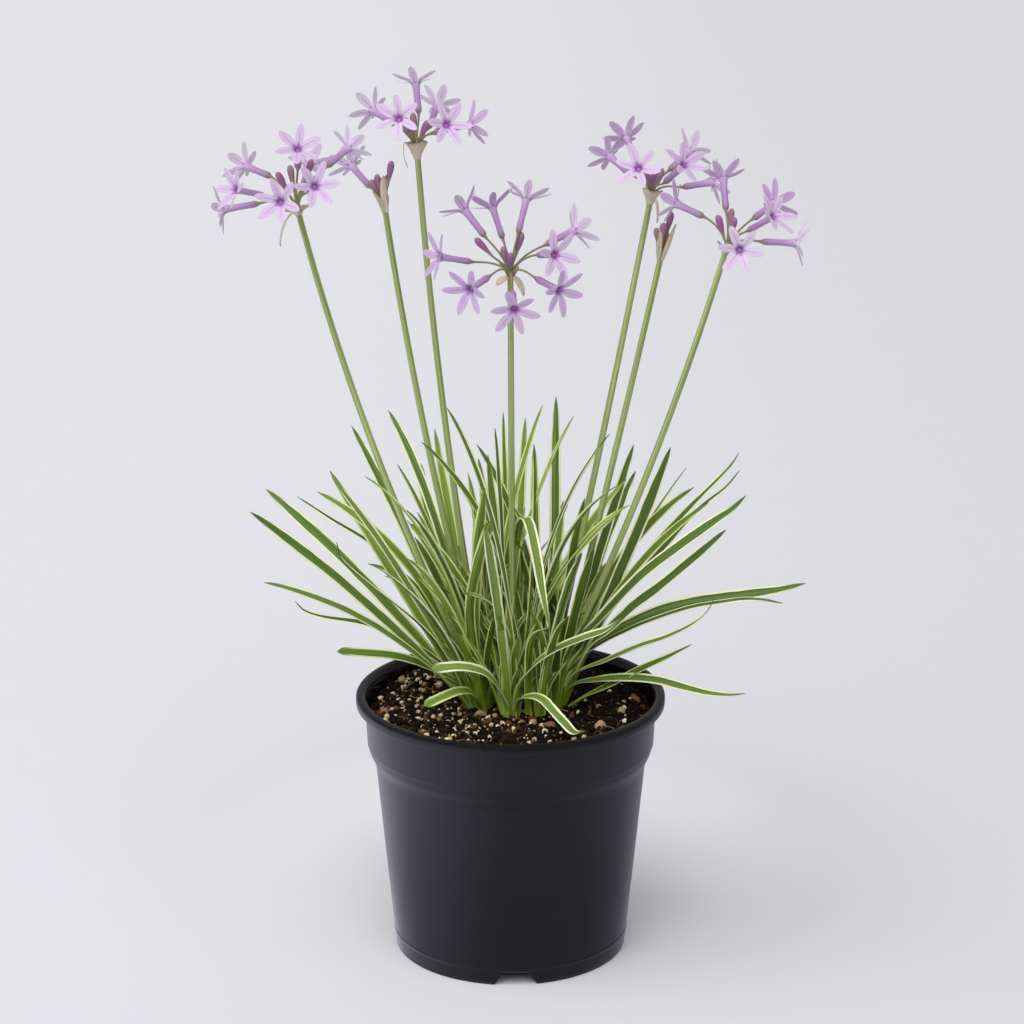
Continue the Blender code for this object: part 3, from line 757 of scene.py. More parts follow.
@dataclass(frozen=True)
class TubeFinish:
    """A flower's tube: brownish at its foot, dusky purple, lighter at its mouth and dark inside."""

    foot: str = "#8f7a70"
    middle: str = "#ae89b9"
    mouth: str = "#cfb1d8"
    inside: str = "#7d3c86"
    heart: str = "#b883c0"
    rim_at: float = 0.76

    def material(self) -> Material:
        """The finish as a material."""
        shader = Shader("flower_tube")
        around, run = shader.on_surface()
        ribs = shader.streaks(around, run, fine=11.0, drawn=1.5, apart=23.0)
        colour = shader.mixed(shader.step(run, 0.0, 0.34), self.foot, self.middle)
        colour = shader.mixed(shader.step(run, 0.3, self.rim_at), colour, self.mouth)
        vein = shader.times(shader.step(ribs, 0.5, 0.7), 0.35)
        colour = shader.mixed(vein, colour, self.middle)
        inside = shader.mixed(shader.step(run, 0.92, 1.0), self.inside, self.heart)
        colour = shader.mixed(shader.step(run, self.rim_at, self.rim_at + 0.04), colour, inside)
        return shader.dress(colour, 0.42, 0.4, ribs, 0.06, Subsurface_Weight=0.08,
                            Subsurface_Scale=0.001)


@dataclass(frozen=True)
class PetalFinish:
    """A tepal: pale mauve with a darker midline, a violet star at the throat and faint veins."""

    pale: str = "#eadcf0"
    mauve: str = "#b993c7"
    line: str = "#a782b8"
    star: str = "#9a69a9"
    pit: str = "#793d83"
    back: str = "#cfb3d8"

    def material(self) -> Material:
        """The finish as a material."""
        shader = Shader("mauve_tepal")
        across, run, below = shader.on_sheet()
        veins = shader.streaks(across, run, fine=13.0, drawn=1.5, apart=29.0)
        edge = shader.edge(across)
        mauve = shader.times(shader.tone(), 0.68)
        share = shader.scaled(shader.step(veins, 0.4, 0.75), 0.38, mauve)
        body = shader.mixed(share, self.pale, self.mauve)
        body = shader.mixed(shader.times(below, 0.55), body, self.back)
        middle = shader.step(edge, 0.72, 1.0)
        fade = shader.less(shader.step(run, 0.55, 1.0))
        middle = shader.times(shader.times(middle, fade), 0.5)
        body = shader.mixed(middle, body, self.line)
        reach = shader.scaled(edge, 0.16, 0.16)
        star = shader.less(shader.step(shader.maths("DIVIDE", run, reach), 0.55, 1.25))
        body = shader.mixed(shader.times(star, 0.85), body, self.star)
        pit = shader.less(shader.step(run, 0.10, 0.20))
        body = shader.mixed(shader.times(pit, shader.less(below)), body, self.pit)
        return shader.dress(
            body, 0.5, 0.35, veins, 0.10, Subsurface_Weight=0.15, Subsurface_Scale=0.0012,
            Subsurface_Radius=(1.0, 0.7, 0.9), Sheen_Weight=0.15,
        )


@dataclass(frozen=True)
class BudFinish:
    """A closed bud: plum, greener at its foot and paler at its tip, with lengthwise seams."""

    plum: str = "#94608c"
    foot: str = "#958f6c"
    tip: str = "#a77ca2"

    def material(self) -> Material:
        """The finish as a material."""
        shader = Shader("plum_bud")
        around, run = shader.on_surface()
        seam = shader.maths("PINGPONG", shader.times(around, 6.0), 1.0)
        colour = shader.mixed(shader.step(run, 0.0, 0.4), self.foot, self.plum)
        colour = shader.mixed(shader.step(run, 0.6, 1.0), colour, self.tip)
        colour = shader.mixed(shader.times(shader.tone(), 0.35), colour, self.foot)
        return shader.dress(colour, 0.42, 0.4, seam, 0.12)


@dataclass(frozen=True)
class BractFinish:
    """A papery bract: tan with long veins, greener the higher its tone, and a browned edge."""

    tan: str = "#d3c6b2"
    brown: str = "#98826e"
    green: str = "#a9b67f"

    def material(self) -> Material:
        """The finish as a material."""
        shader = Shader("papery_bract")
        across, run, _ = shader.on_sheet()
        veins = shader.streaks(across, run, fine=17.0, drawn=1.3, apart=31.0, roughness=0.65)
        body = shader.mixed(shader.tone(), self.tan, self.green)
        vein = shader.times(shader.step(veins, 0.5, 0.7), 0.6)
        body = shader.mixed(vein, body, self.brown)
        edge = shader.edge(across)
        rim = shader.less(shader.step(edge, 0.04, 0.2))
        rim = shader.maths("MAXIMUM", rim, shader.step(run, 0.86, 1.0))
        body = shader.mixed(shader.times(rim, 0.6), body, self.brown)
        return shader.dress(body, 0.62, 0.3, veins, 0.15, Subsurface_Weight=0.12,
                            Subsurface_Scale=0.001)


@dataclass(frozen=True)
class FloorFinish:
    """The pale matt floor, with painted shade that greys it towards its right and a painted pool of
    light behind the pot that lifts the shadow there.
    """

    pale: str = "#e1e1e6"
    grey: str = "#d8d8dd"
    near: str = "#f1f1f5"

    def material(self) -> Material:
        """The finish as a material."""
        shader = Shader("pale_floor")
        x, y = shader.over_floor()
        # Painted shade: the floor greys towards its right.
        colour = shader.mixed(shader.step(x, -0.3, 0.5), self.pale, self.grey)
        # Painted pool of light: paler close behind the pot, where its shadow falls.
        behind = shader.maths("SUBTRACT", y, 0.13)
        squares = shader.scaled(x, x, shader.times(behind, behind))
        away = shader.step(shader.maths("SQRT", squares), 0.09, 0.20)
        colour = shader.mixed(away, self.near, colour)
        return shader.dress(colour, 0.9, 0.1)


@dataclass(frozen=True)
class CardFinish:
    """A glow round the pot: brighter on the left, dimmer behind, far off and by the foot.

    Front is its strength ahead of the pot, and left what is added on the left. Far and behind
    are the shares that are lost far off and behind, and beside the share that stays by the foot.
    """

    front: float = 0.565
    left: float = 0.73
    far: float = 0.55
    behind: float = 0.35
    beside: float = 0.68
    colour: Colour = (0.96, 0.94, 1.12, 1.0)

    def material(self) -> Material:
        """The finish as a material."""
        shader = Shader("card_glow")
        x, y = shader.over_floor()
        squares = shader.scaled(x, x, shader.times(y, y))
        away = shader.maths("SQRT", shader.maths("ADD", squares, 0.0001))
        side = shader.step(shader.maths("DIVIDE", x, away), 0.1, -1.25)
        back = shader.step(shader.maths("DIVIDE", y, away), 0.3, 1.0)
        ahead = shader.scaled(shader.step(away, 0.3, 0.6), -self.far * self.front, self.front)
        glow = shader.scaled(side, self.left, ahead)
        dimmed = shader.scaled(back, -self.behind, 1.0)
        close = shader.scaled(shader.step(away, 0.1, 0.27), 1 - self.beside, self.beside)
        strength = shader.times(shader.times(glow, dimmed), close)
        return shader.dress("#000000", 0.9, 0.0, Emission_Color=self.colour,
                            Emission_Strength=strength)


# ---- Pot ----


def rounded(corners: list[tuple[float, float, float]], steps: int = 5) -> Array:
    """A profile whose corners are eased.

    At each corner the curve leaves the line at its easing length before the corner and joins
    the next line at the same length after it, along a quadratic Bezier with its knee there.

    Args:
        corners: Radius, height and easing length of each corner.
        steps: Points that each eased corner gets.

    Returns:
        Radius and height of the profile's points in order.
    """
    places = np.array(corners)[:, :2]
    out = [places[:1]]
    for before, here, after, (_, _, ease) in zip(places, places[1:], places[2:], corners[1:]):
        if ease == 0:
            out.append(here[None])
            continue
        back, ahead = before - here, after - here
        reach = min(ease, 0.49 * np.linalg.norm(back), 0.49 * np.linalg.norm(ahead))
        knees = np.array([here + unit(back) * reach, here, here + unit(ahead) * reach])
        out.append(bezier(knees, np.linspace(0, 1, steps)))
    out.append(places[-1:])
    return np.concatenate(out)


@dataclass
class NurseryPot:
    """The thin moulded pot: rolled lip, band under it, shoulder, tapered wall and notched skirt."""

    height: float
    rim_radius: float
    rim_width: float = 4.8
    lip_depth: float = 6.0
    band_top: float = 77.5
    band_foot: tuple[float, float] = (76.4, 115.0)
    shoulder: tuple[float, float] = (72.2, 104.0)
    skirt_top: tuple[float, float] = (63.4, 9.4)
    foot_radius: float = 62.0
    wall: float = 1.4
    floor: float = 1.8
    floor_radius: float = 49.0
    channel: float = 7.2
    skirt_wall: float = 2.0
    notch_count: int = 3
    notch_first: float = -87.3
    notch_height: float = 7.0
    notch_foot: float = 22.7
    notch_top: float = 13.7
    drain_radius: float = 3.0
    drain_ring: float = 55.4
    sides: int = 240

    @classmethod
    def from_frame(cls) -> "NurseryPot":
        """The pot as tall and as wide as its solid in the frame."""
        _, high = box_of("pot")
        return cls(height=high[2], rim_radius=high[0])

    def profile(self) -> Array:
        """The wall's outline from the middle of the underside round to the middle of the floor."""
        top, lip = self.height, self.height - self.lip_depth
        inside = self.foot_radius - self.skirt_wall
        deck = self.channel + self.floor
        skirt, skirt_top = self.skirt_top
        shoulder, shoulder_at = self.shoulder
        band, band_foot = self.band_foot
        corners = [
            (0.0, 0.0, 0.0),
            (self.floor_radius, 0.0, 0.6),
            (self.floor_radius + 1.6, self.channel, 0.8),
            (inside, self.channel, 0.8),
            (inside, 0.0, 0.4),
            (self.foot_radius, 0.0, 0.7),
            (skirt - 0.5, skirt_top - 1.2, 0.3),
            (skirt + 0.1, skirt_top, 0.5),
            (skirt - 0.2, skirt_top + 1.2, 0.4),
            (shoulder, shoulder_at, 2.4),
            (shoulder + 1.3, shoulder_at + 3.4, 1.2),
            (band - 1.1, band_foot - 4.0, 1.6),
            (band - 0.3, band_foot - 0.5, 0.3),
            (band + 0.1, band_foot + 0.2, 0.3),
            (self.band_top, lip - 1.0, 0.6),
            (self.band_top + 0.9, lip, 0.4),
            (self.rim_radius - 0.2, lip + 0.2, 0.9),
            (self.rim_radius, top, 2.4),
            (self.rim_radius - self.rim_width, top, 1.6),
            (self.band_top - self.wall, top - 3.4, 1.4),
            (band - self.wall, band_foot, 2.0),
            (shoulder - self.wall, shoulder_at, 2.0),
            (skirt - self.wall, deck, 1.0),
            (self.floor_radius + 2.2, deck, 0.8),
            (self.floor_radius - 1.0, self.floor, 0.8),
            (0.0, self.floor, 0.0),
        ]
        return rounded(corners)

    def notches(self) -> Array:
        """The heading of each notch's middle, in radians."""
        return math.radians(self.notch_first) + round_turn(self.notch_count)

    def notch_rise(self, angles: Array) -> Array:
        """How far the skirt's foot is cut away at each angle: straight sides and a level top."""
        pitch = 2 * math.pi / self.notch_count
        off = (angles - math.radians(self.notch_first) + pitch / 2) % pitch - pitch / 2
        reach = np.abs(off) * self.foot_radius
        inner, outer = self.notch_top / 2, self.notch_foot / 2
        return self.notch_height * (1 - np.clip((reach - inner) / (outer - inner), 0, 1))

    def build(self, finish: Material) -> None:
        """Turns the profile round the axis and lifts the skirt's foot where the notches are."""
        starts = self.notches()[:, None]
        side = np.linspace(self.notch_top / 2, self.notch_foot / 2, 9) / self.foot_radius
        extra = np.concatenate([starts + side, starts - side]).ravel()
        angles = round_turn(self.sides)
        angles = np.unique(np.round(np.concatenate([angles, extra % (2 * math.pi)]), 5))
        radius, height = self.profile()[1:-1].T
        skirt = (radius > self.foot_radius - self.skirt_wall - 1) & (height < self.channel)
        lift = skirt * (1 - height / self.channel)
        rise = height[:, None] + lift[:, None] * self.notch_rise(angles)
        skin = Skin()
        skin.tube(turned(radius[:, None], rise, angles), 0.5)
        self.drill(skin.make("nursery_pot", finish, ("pot",), crease=32))

    def drill(self, pot: bpy.types.Object) -> None:
        """Cuts the drain holes through the roof of the channel behind the notches."""
        skin = Skin()
        levels = np.array([[self.channel - 1.5], [self.channel + self.floor + 1.5]])
        hole = turned(self.drain_radius, levels, round_turn(24))
        for heading in self.notches():
            skin.tube(hole + turned(self.drain_ring, 0.0, heading), 0.5)
        cutter = bpy.data.objects.new("drain_cutter", skin.mesh("drain_cutter"))
        bpy.context.collection.objects.link(cutter)
        opening = pot.modifiers.new("drains", "BOOLEAN")
        opening.operation = "DIFFERENCE"
        opening.solver = "EXACT"
        opening.object = cutter
        bpy.context.view_layer.update()
        ready = pot.evaluated_get(bpy.context.evaluated_depsgraph_get())
        drilled = bpy.data.meshes.new_from_object(ready)
        pot.modifiers.clear()
        pot.data = drilled
        bpy.data.objects.remove(cutter, do_unlink=True)


# ---- Soil ----


CLODS = (
    (12.0, -27.0, 2.4, 0.9, 0.0),
    (21.0, -32.0, 3.3, 0.7, 0.9),
    (47.0, -31.0, 3.3, 0.8, 0.35),
    (59.0, -9.0, 2.6, 0.8, 0.0),
    (-59.0, 38.0, 2.6, 0.9, 0.3),
    (-67.0, -9.0, 3.4, 0.7, 0.8),
    (-16.0, -14.5, 3.2, 0.4, 0.3),
    (67.0, 12.0, 3.4, 0.4, 1.0),
    (33.0, -48.0, 1.9, 0.8, 0.0),
    (-38.0, -22.0, 2.6, 0.6, 0.9),
)
"""Large lumps: across, along, half length, height as a share of it, and warmth of colour."""


@dataclass(frozen=True)
class Grains:
    """One kind of lump that is scattered over the soil.

    Attributes:
        name: The piece's name.
        number: How many are drawn.
        size: Least and greatest half length.
        shape: Length, width and depth as shares of the size.
        sink: Share of a lump's size by which its middle lies under the surface.
        dents: How rough its outline is.
        sides: Points round each of its rings.
        thinning: Share of them that are dropped on the soil's right side, fewer towards its left.
        crease: Angle in degrees above which an edge stays sharp.
    """

    name: str
    number: int
    size: tuple[float, float]
    shape: Point
    sink: float
    dents: float
    sides: int
    thinning: float = 0.0
    crease: float = 60.0


PEAT = Grains(
    "peat_crumbs", 5200, size=(0.5, 2.3), shape=(1.0, 0.9, 0.7), sink=0.25, dents=0.3, sides=5,
    crease=38,
)
PERLITE = Grains(
    "perlite", 1000, size=(0.4, 1.85), shape=(1.0, 0.9, 0.8), sink=0.1, dents=0.16, sides=8,
    thinning=0.85,
)
BARK = Grains(
    "bark_chips", 420, size=(0.7, 3.8), shape=(1.0, 0.55, 0.28), sink=0.1, dents=0.22, sides=6,
    thinning=0.3, crease=38,
)
STONES = Grains(
    "small_stones", 60, size=(1.0, 2.2), shape=(1.0, 0.85, 0.7), sink=0.15, dents=0.08, sides=10,
    thinning=0.6,
)


@dataclass
class PottingSoil:
    """Damp peat with crumbs, perlite, bark, stones and bits of root lying in its surface."""

    pot: NurseryPot
    top: float = 134.0
    flat_radius: float = 42.0
    swell: float = 2.4
    gap: float = 0.3
    sides: int = 180
    rings: int = 68
    root_count: int = 46
    seed: int = 7

    def height(self, x: Array, y: Array) -> Array:
        """Level in the middle, then slow swells that grow towards the wall, with fine clods."""
        outward = np.maximum(0.0, np.hypot(x, y) / self.flat_radius - 1.0)
        wave = np.sin(0.045 * x + 0.8) * np.cos(0.050 * y - 0.4) - 0.35 * np.cos(0.06 * x)
        clod = np.sin(0.55 * x + 1.1 * np.sin(0.31 * y)) * np.sin(0.47 * y + 0.9 * np.sin(0.37 * x))
        grit = np.sin(1.9 * x + 2.2 * np.sin(0.9 * y)) * np.cos(1.7 * y + 1.9 * np.sin(1.1 * x))
        level = self.top + self.swell * outward * wave - 1.2 * outward
        return level + 0.55 * clod + 0.25 * grit

    def wall_radius(self) -> float:
        """Radius of the soil where it meets the pot's wall at its top."""
        return self.pot.band_foot[0] - self.pot.wall - self.gap + 0.6

    def build_body(self, finish: Material) -> None:
        """The soil's own surface: the top as a field over polar rings, then the pot's inside."""
        pot, gap = self.pot, self.gap
        angles = round_turn(self.sides)
        radii = np.linspace(self.wall_radius(), 0.8, self.rings)
        top = turned(radii[:, None], 0.0, angles)
        top[..., 2] = self.height(top[..., 0], top[..., 1])
        deck = pot.channel + pot.floor + gap
        side = np.array([
            (pot.floor_radius - 1 - gap, pot.floor + gap),
            (pot.floor_radius + 2.2 - gap, deck),
            (pot.skirt_top[0] - pot.wall - gap, deck),
            (pot.shoulder[0] - pot.wall - gap, pot.shoulder[1]),
            (pot.band_foot[0] - pot.wall - gap, pot.band_foot[1] + 0.5),
        ])
        wall = turned(side[:, :1], side[:, 1:], angles)
        skin = Skin()
        rings = np.concatenate([wall, top])
        # The soil's tone falls towards the right: painted shade.
        skin.tube(rings, 0.5 * (1 - 0.8 * self.painted_shade_and_thinning(rings[..., 0])))
        skin.make("potting_soil", finish, ("soil",), crease=180)

    def painted_shade_and_thinning(self, x: Array) -> Array:
        """0 on the left and 1 on the right: how strongly painted shade darkens the soil there, and how
        many pale grains are thinned out.
        """
        return smooth(x, -12.0, 40.0)

    def scatter(
        self, number: int, rng: Random, clear: float, spread: float, thinning: float = 0.0
    ) -> Array:
        """Places on the soil, even by area, away from the plant's feet.

        Args:
            number: How many places are drawn before those near the feet are dropped.
            rng: Where the places come from.
            clear: Share of each crown's radius that is kept free.
            spread: Share of the soil's radius that is used.
            thinning: Share of the places that are dropped on the soil's right side, fewer towards its
                left.

        Returns:
            Points on the soil's surface.
        """
        reach = (self.wall_radius() - 1.2) * spread * np.sqrt(rng.uniform(0, 1, number))
        turn = rng.uniform(0, 2 * math.pi, number)
        x, y = reach * np.cos(turn), reach * np.sin(turn)
        keep = rng.uniform(0, 1, number) > thinning * self.painted_shade_and_thinning(x)
        for crown in CROWNS.values():
            keep &= np.hypot(x - crown.x, y - crown.y) > crown.radius * clear
        x, y = x[keep], y[keep]
        return np.stack([x, y, self.height(x, y)], axis=-1)

    def build_grains(self, kind: Grains, finish: Material) -> None:
        """One kind of lump, scattered over the soil nearly up to the crowns' edges."""
        rng = np.random.default_rng([self.seed, kind.number])
        places = self.scatter(kind.number, rng, clear=0.9, spread=1.0, thinning=kind.thinning)
        share = rng.uniform(0, 1, len(places)) ** 2.2
        least, greatest = kind.size
        half = least + (greatest - least) * share
        stretch = rng.uniform(0.75, 1.25, (len(places), 3)) * np.array(kind.shape)
        rise = rng.uniform(0.0, 0.9, len(places)) - kind.sink
        places[:, 2] += rise * half * min(kind.shape)
        skin = Skin()
        # Tones fall towards the right, which on the peat crumbs is painted shade.
        tones = rng.uniform(0, 1, len(places)) * (1 - 0.7 * self.painted_shade_and_thinning(places[:, 0]))
        skin.grains(places, half[:, None] * stretch, kind.dents, kind.sides, rng, tones)
        skin.make(kind.name, finish, crease=kind.crease)

    def build_clods(self, finish: Material) -> None:
        """The few large pebbles and clods that stand out of the rest, each in its own place."""
        rng = np.random.default_rng([self.seed, 5])
        x, y, size, flat, tone = np.array(CLODS).T
        places = np.stack([x, y, self.height(x, y) + 0.3 * size * flat], axis=-1)
        half = size[:, None] * np.stack([np.ones_like(flat), 0.8 * np.ones_like(flat), flat], axis=-1)
        skin = Skin()
        skin.grains(places, half, 0.2, 12, rng, tone)
        skin.make("clods", finish, crease=60)

    def build_roots(self, finish: Material) -> None:
        """Fine broken roots that lie on the soil in loose curves."""
        rng = np.random.default_rng([self.seed, 99])
        skin = Skin()
        for place in self.scatter(self.root_count, rng, clear=1.1, spread=0.93):
            heading, length = rng.uniform(0, 2 * math.pi), rng.uniform(5, 17)
            side = np.array([-math.sin(heading), math.cos(heading)]) * rng.uniform(-0.3, 0.3)
            run = np.array([math.cos(heading), math.sin(heading)])
            shares = np.linspace(-0.5, 0.5, 9)
            flat = place[:2] + length * (shares[:, None] * run + (shares[:, None] ** 2) * side)
            reach = np.hypot(*flat.T)
            flat *= np.minimum(1, (self.wall_radius() - 1.5) / reach)[:, None]
            lift = 0.3 + 1.6 * rng.uniform(0, 1) * (1 - 4 * shares**2)
            path = np.column_stack([flat, self.height(*flat.T) + lift])
            radius = rng.uniform(0.14, 0.32) * (1 - 0.5 * np.abs(shares))
            skin.tube(pipe(path, radius, 5), rng.uniform(0, 1))
        skin.make("root_bits", finish)

    def build(self) -> None:
        """The soil with everything that lies in it."""
        peat = EarthFinish().material()
        self.build_body(peat)
        self.build_grains(PEAT, peat)
        perlite = GrainFinish("perlite", "#f0e6c8", "#d9bd8e", "#5a4230")
        self.build_grains(PERLITE, perlite.material())
        bark = GrainFinish("bark", "#4c3321", "#8a6039", "#1c110a")
        self.build_grains(BARK, bark.material())
        stone = GrainFinish("stone", "#c8a880", "#8f6444", "#54392a", 0.6).material()
        self.build_grains(STONES, stone)
        self.build_clods(stone)
        self.build_roots(GrainFinish("root", "#b79a70", "#6d4e33", "#3a2819").material())


def pipe(path: Array, radii: Array, sides: int) -> Array:
    """Rings of points round a path, square to it.

    A ring's point is the path's point plus the radius times the cosine of its turn along one
    carried axis and the sine along the other.

    Args:
        path: The pipe's middle line.
        radii: Its radius at each point of the path, or at each point and turn.
        sides: How many points a ring has.

    Returns:
        Rings along the path, with points round each.
    """
    across, over = carried_axes(path)
    turns = round_turn(sides)
    radii = np.broadcast_to(np.asarray(radii, float).T, (sides, len(path))).T[..., None]
    return path[:, None] + radii * ring_round(turns, across[:, None], over[:, None])


# ---- Leaves ----


@dataclass(frozen=True)
class Crown:
    """A tuft's foot: where it stands, how wide it is, and how light its leaves are, which is partly
    painted shade.

    It rises so far over its height. Its leaves leave it over a gap, no nearer its axis than
    clear. They root at a share of the way out, so deep under it, spread by a share of its radius.
    """

    x: float
    y: float
    radius: float
    height: float
    lightness: tuple[float, float]
    rise: float = 10.0
    gap: float = 0.35
    clear: float = 5.4
    root_share: float = 0.55
    root_depth: float = 6.5
    root_spread: float = 0.12

    @classmethod
    def from_frame(cls, name: str, lightest: float, darkest: float) -> "Crown":
        """The crown where its solid stands, and as wide as that."""
        low, high = box_of("crown_" + name)
        x, y, _ = np.round((low + high) / 2, 1)
        radius = round((high[0] - low[0]) / 2 / CROWN_SHARE, 1)
        return cls(x, y, radius, high[2] - cls.rise, (darkest, lightest))

    @property
    def middle(self) -> Array:
        """The crown's middle, from which its leaves spread."""
        return np.array([self.x, self.y, self.height])

    def edge(self, direction: Array) -> Array:
        """Where a leaf leaves the crown in a direction: flat^4 + steep^4 = 1 round the middle."""
        sideways = math.hypot(direction[0], direction[1])
        blend = (sideways / self.radius) ** 4 + (abs(direction[2]) / self.rise) ** 4
        flat = max(blend**-0.25 * sideways, self.clear) / self.radius
        steep = (1 - min(flat, 1.0) ** 4) ** 0.25
        outward = np.array([direction[0], direction[1], 0.0]) / sideways
        return outward * (flat * self.radius + self.gap) + UP * (steep * self.rise + self.gap)


# The two numbers after each name bound how light that tuft's leaves are; the right tuft is kept dark as
# painted shade.
CROWNS = {
    "left": Crown.from_frame("left", 1.0, 0.35),
    "middle": Crown.from_frame("middle", 1.0, 0.2),
    "front": Crown.from_frame("front", 0.9, 0.1),
    "right": Crown.from_frame("right", 0.6, 0.0),
}


@dataclass(frozen=True)
class Blade:
    """A strap leaf that rises in an arch to its tip, or that follows a route where it has one.

    Its face is turned by its roll, in degrees, and its line swings to the front by its sway. How light
    it is, from 0 for a dark leaf to 1 for a light one, partly its own colour and partly painted shade,
    is left to chance below 0.
    """

    crown: str
    width: float
    roll: float
    tip: Point = (0.0, 0.0, 0.0)
    arch: float = 0.0
    sway: float = 0.0
    route: tuple[Point, ...] = ()
    end: BladeEnd = BladeEnd.TAPERED
    lightness: float = -1.0

    def path(self, rows: int, root_turn: float) -> Array:
        """The blade's middle line from under the soil's surface to its tip.

        Without a route it is a cubic Bezier whose last two thirds follow the quadratic curve
        from the crown's edge over a knee, which stands twice the arch over the middle of the
        straight line to the tip.

        Args:
            rows: How many points it gets.
            root_turn: Turn in radians of its foot round the crown's middle.

        Returns:
            The points from foot to tip.
        """
        shares = np.linspace(0, 1, rows)
        if self.route:
            return along(through(np.array(self.route)), shares)
        crown, tip = CROWNS[self.crown], np.array(self.tip, float)
        middle, sway = crown.middle, np.array([0.0, 2 * self.sway, 0.0])
        start = middle + crown.edge(unit(arched(middle, tip, self.arch) - sway - middle))
        knee = arched(start, tip, self.arch) - sway
        share = crown.root_share
        foot = middle + (start - middle) * (share, share, 0) - (0, 0, crown.root_depth)
        foot = foot + turned(crown.root_spread * crown.radius, 0.0, root_turn)
        controls = [foot, start + (knee - start) * 0.5, tip + (knee - tip) * 2 / 3, tip]
        return along(bezier(controls, np.linspace(0, 1, 160)), shares)

    def tone(self, rng: Random) -> float:
        """How light the leaf is, with a little chance in it."""
        if self.lightness < 0:
            return rng.uniform(*CROWNS[self.crown].lightness)
        return min(1.0, max(0.0, self.lightness + rng.uniform(-0.06, 0.06)))

    def surface(self, rows: int, columns: int, rng: Random) -> tuple[Array, ...]:
        """The blade's middle surface and its thickness.

        Across the blade a point lies at its share of the half width, raised to the face by the
        channel's depth times that share to the power 1.7. The half width narrows to the foot
        and to the tip.

        Args:
            rows: Points along the blade.
            columns: Points across it.
            rng: Where its small waves come from.

        Returns:
            The surface, and the thickness at each of its points.
        """
        path = self.path(rows, rng.uniform(0, 2 * math.pi))
        shares = np.linspace(0, 1, rows)
        run = unit(np.gradient(path, axis=0))
        heading = path[-1] - path[0]
        level = unit(np.cross(UP, heading))
        across = unit(level - run * (run @ level)[:, None])
        face = np.cross(run, across)
        front = -across if level[1] > 0 else across
        turn = math.radians(self.roll) * smooth(shares, 0.0, 0.5)
        turn = turn + math.radians(rng.uniform(-7, 7)) * np.sin(math.pi * shares * rng.uniform(1.2, 2.2))
        face = ring_round(turn, face, front)
        across = np.cross(face, run)
        begin, power, blunt = self.end.value
        rise = np.clip((shares - begin) / (1 - begin), 0, 1)
        taper = np.maximum(1 - rise**power, 0.0) ** blunt
        half = self.width / 2 * (0.66 + 0.44 * smooth(shares, 0.04, 0.36)) * np.maximum(taper, 0.05)
        channel = 0.75 - 0.46 * smooth(shares, 0.0, 0.45)
        x = np.linspace(-1, 1, columns)
        ease = np.sign(x) * np.abs(x) ** 0.85
        lift = np.abs(x) ** 1.7
        spread = np.cos(channel)[:, None] * ease
        middle = path[:, None] + (half[:, None] * spread)[..., None] * across[:, None]
        raised = (half * np.sin(channel))[:, None] * lift
        middle = middle + raised[..., None] * face[:, None]
        wave = rng.uniform(0.05, 0.16) * np.sin(shares * rng.uniform(9, 15) + rng.uniform(0, 6))
        middle = middle + (wave[:, None] * np.abs(x) * half[:, None])[..., None] * face[:, None]
        thickness = (0.28 + 0.5 * (1 - x**2)) * (0.55 + 0.45 * np.maximum(taper, 0.05))[:, None]
        return middle, thickness
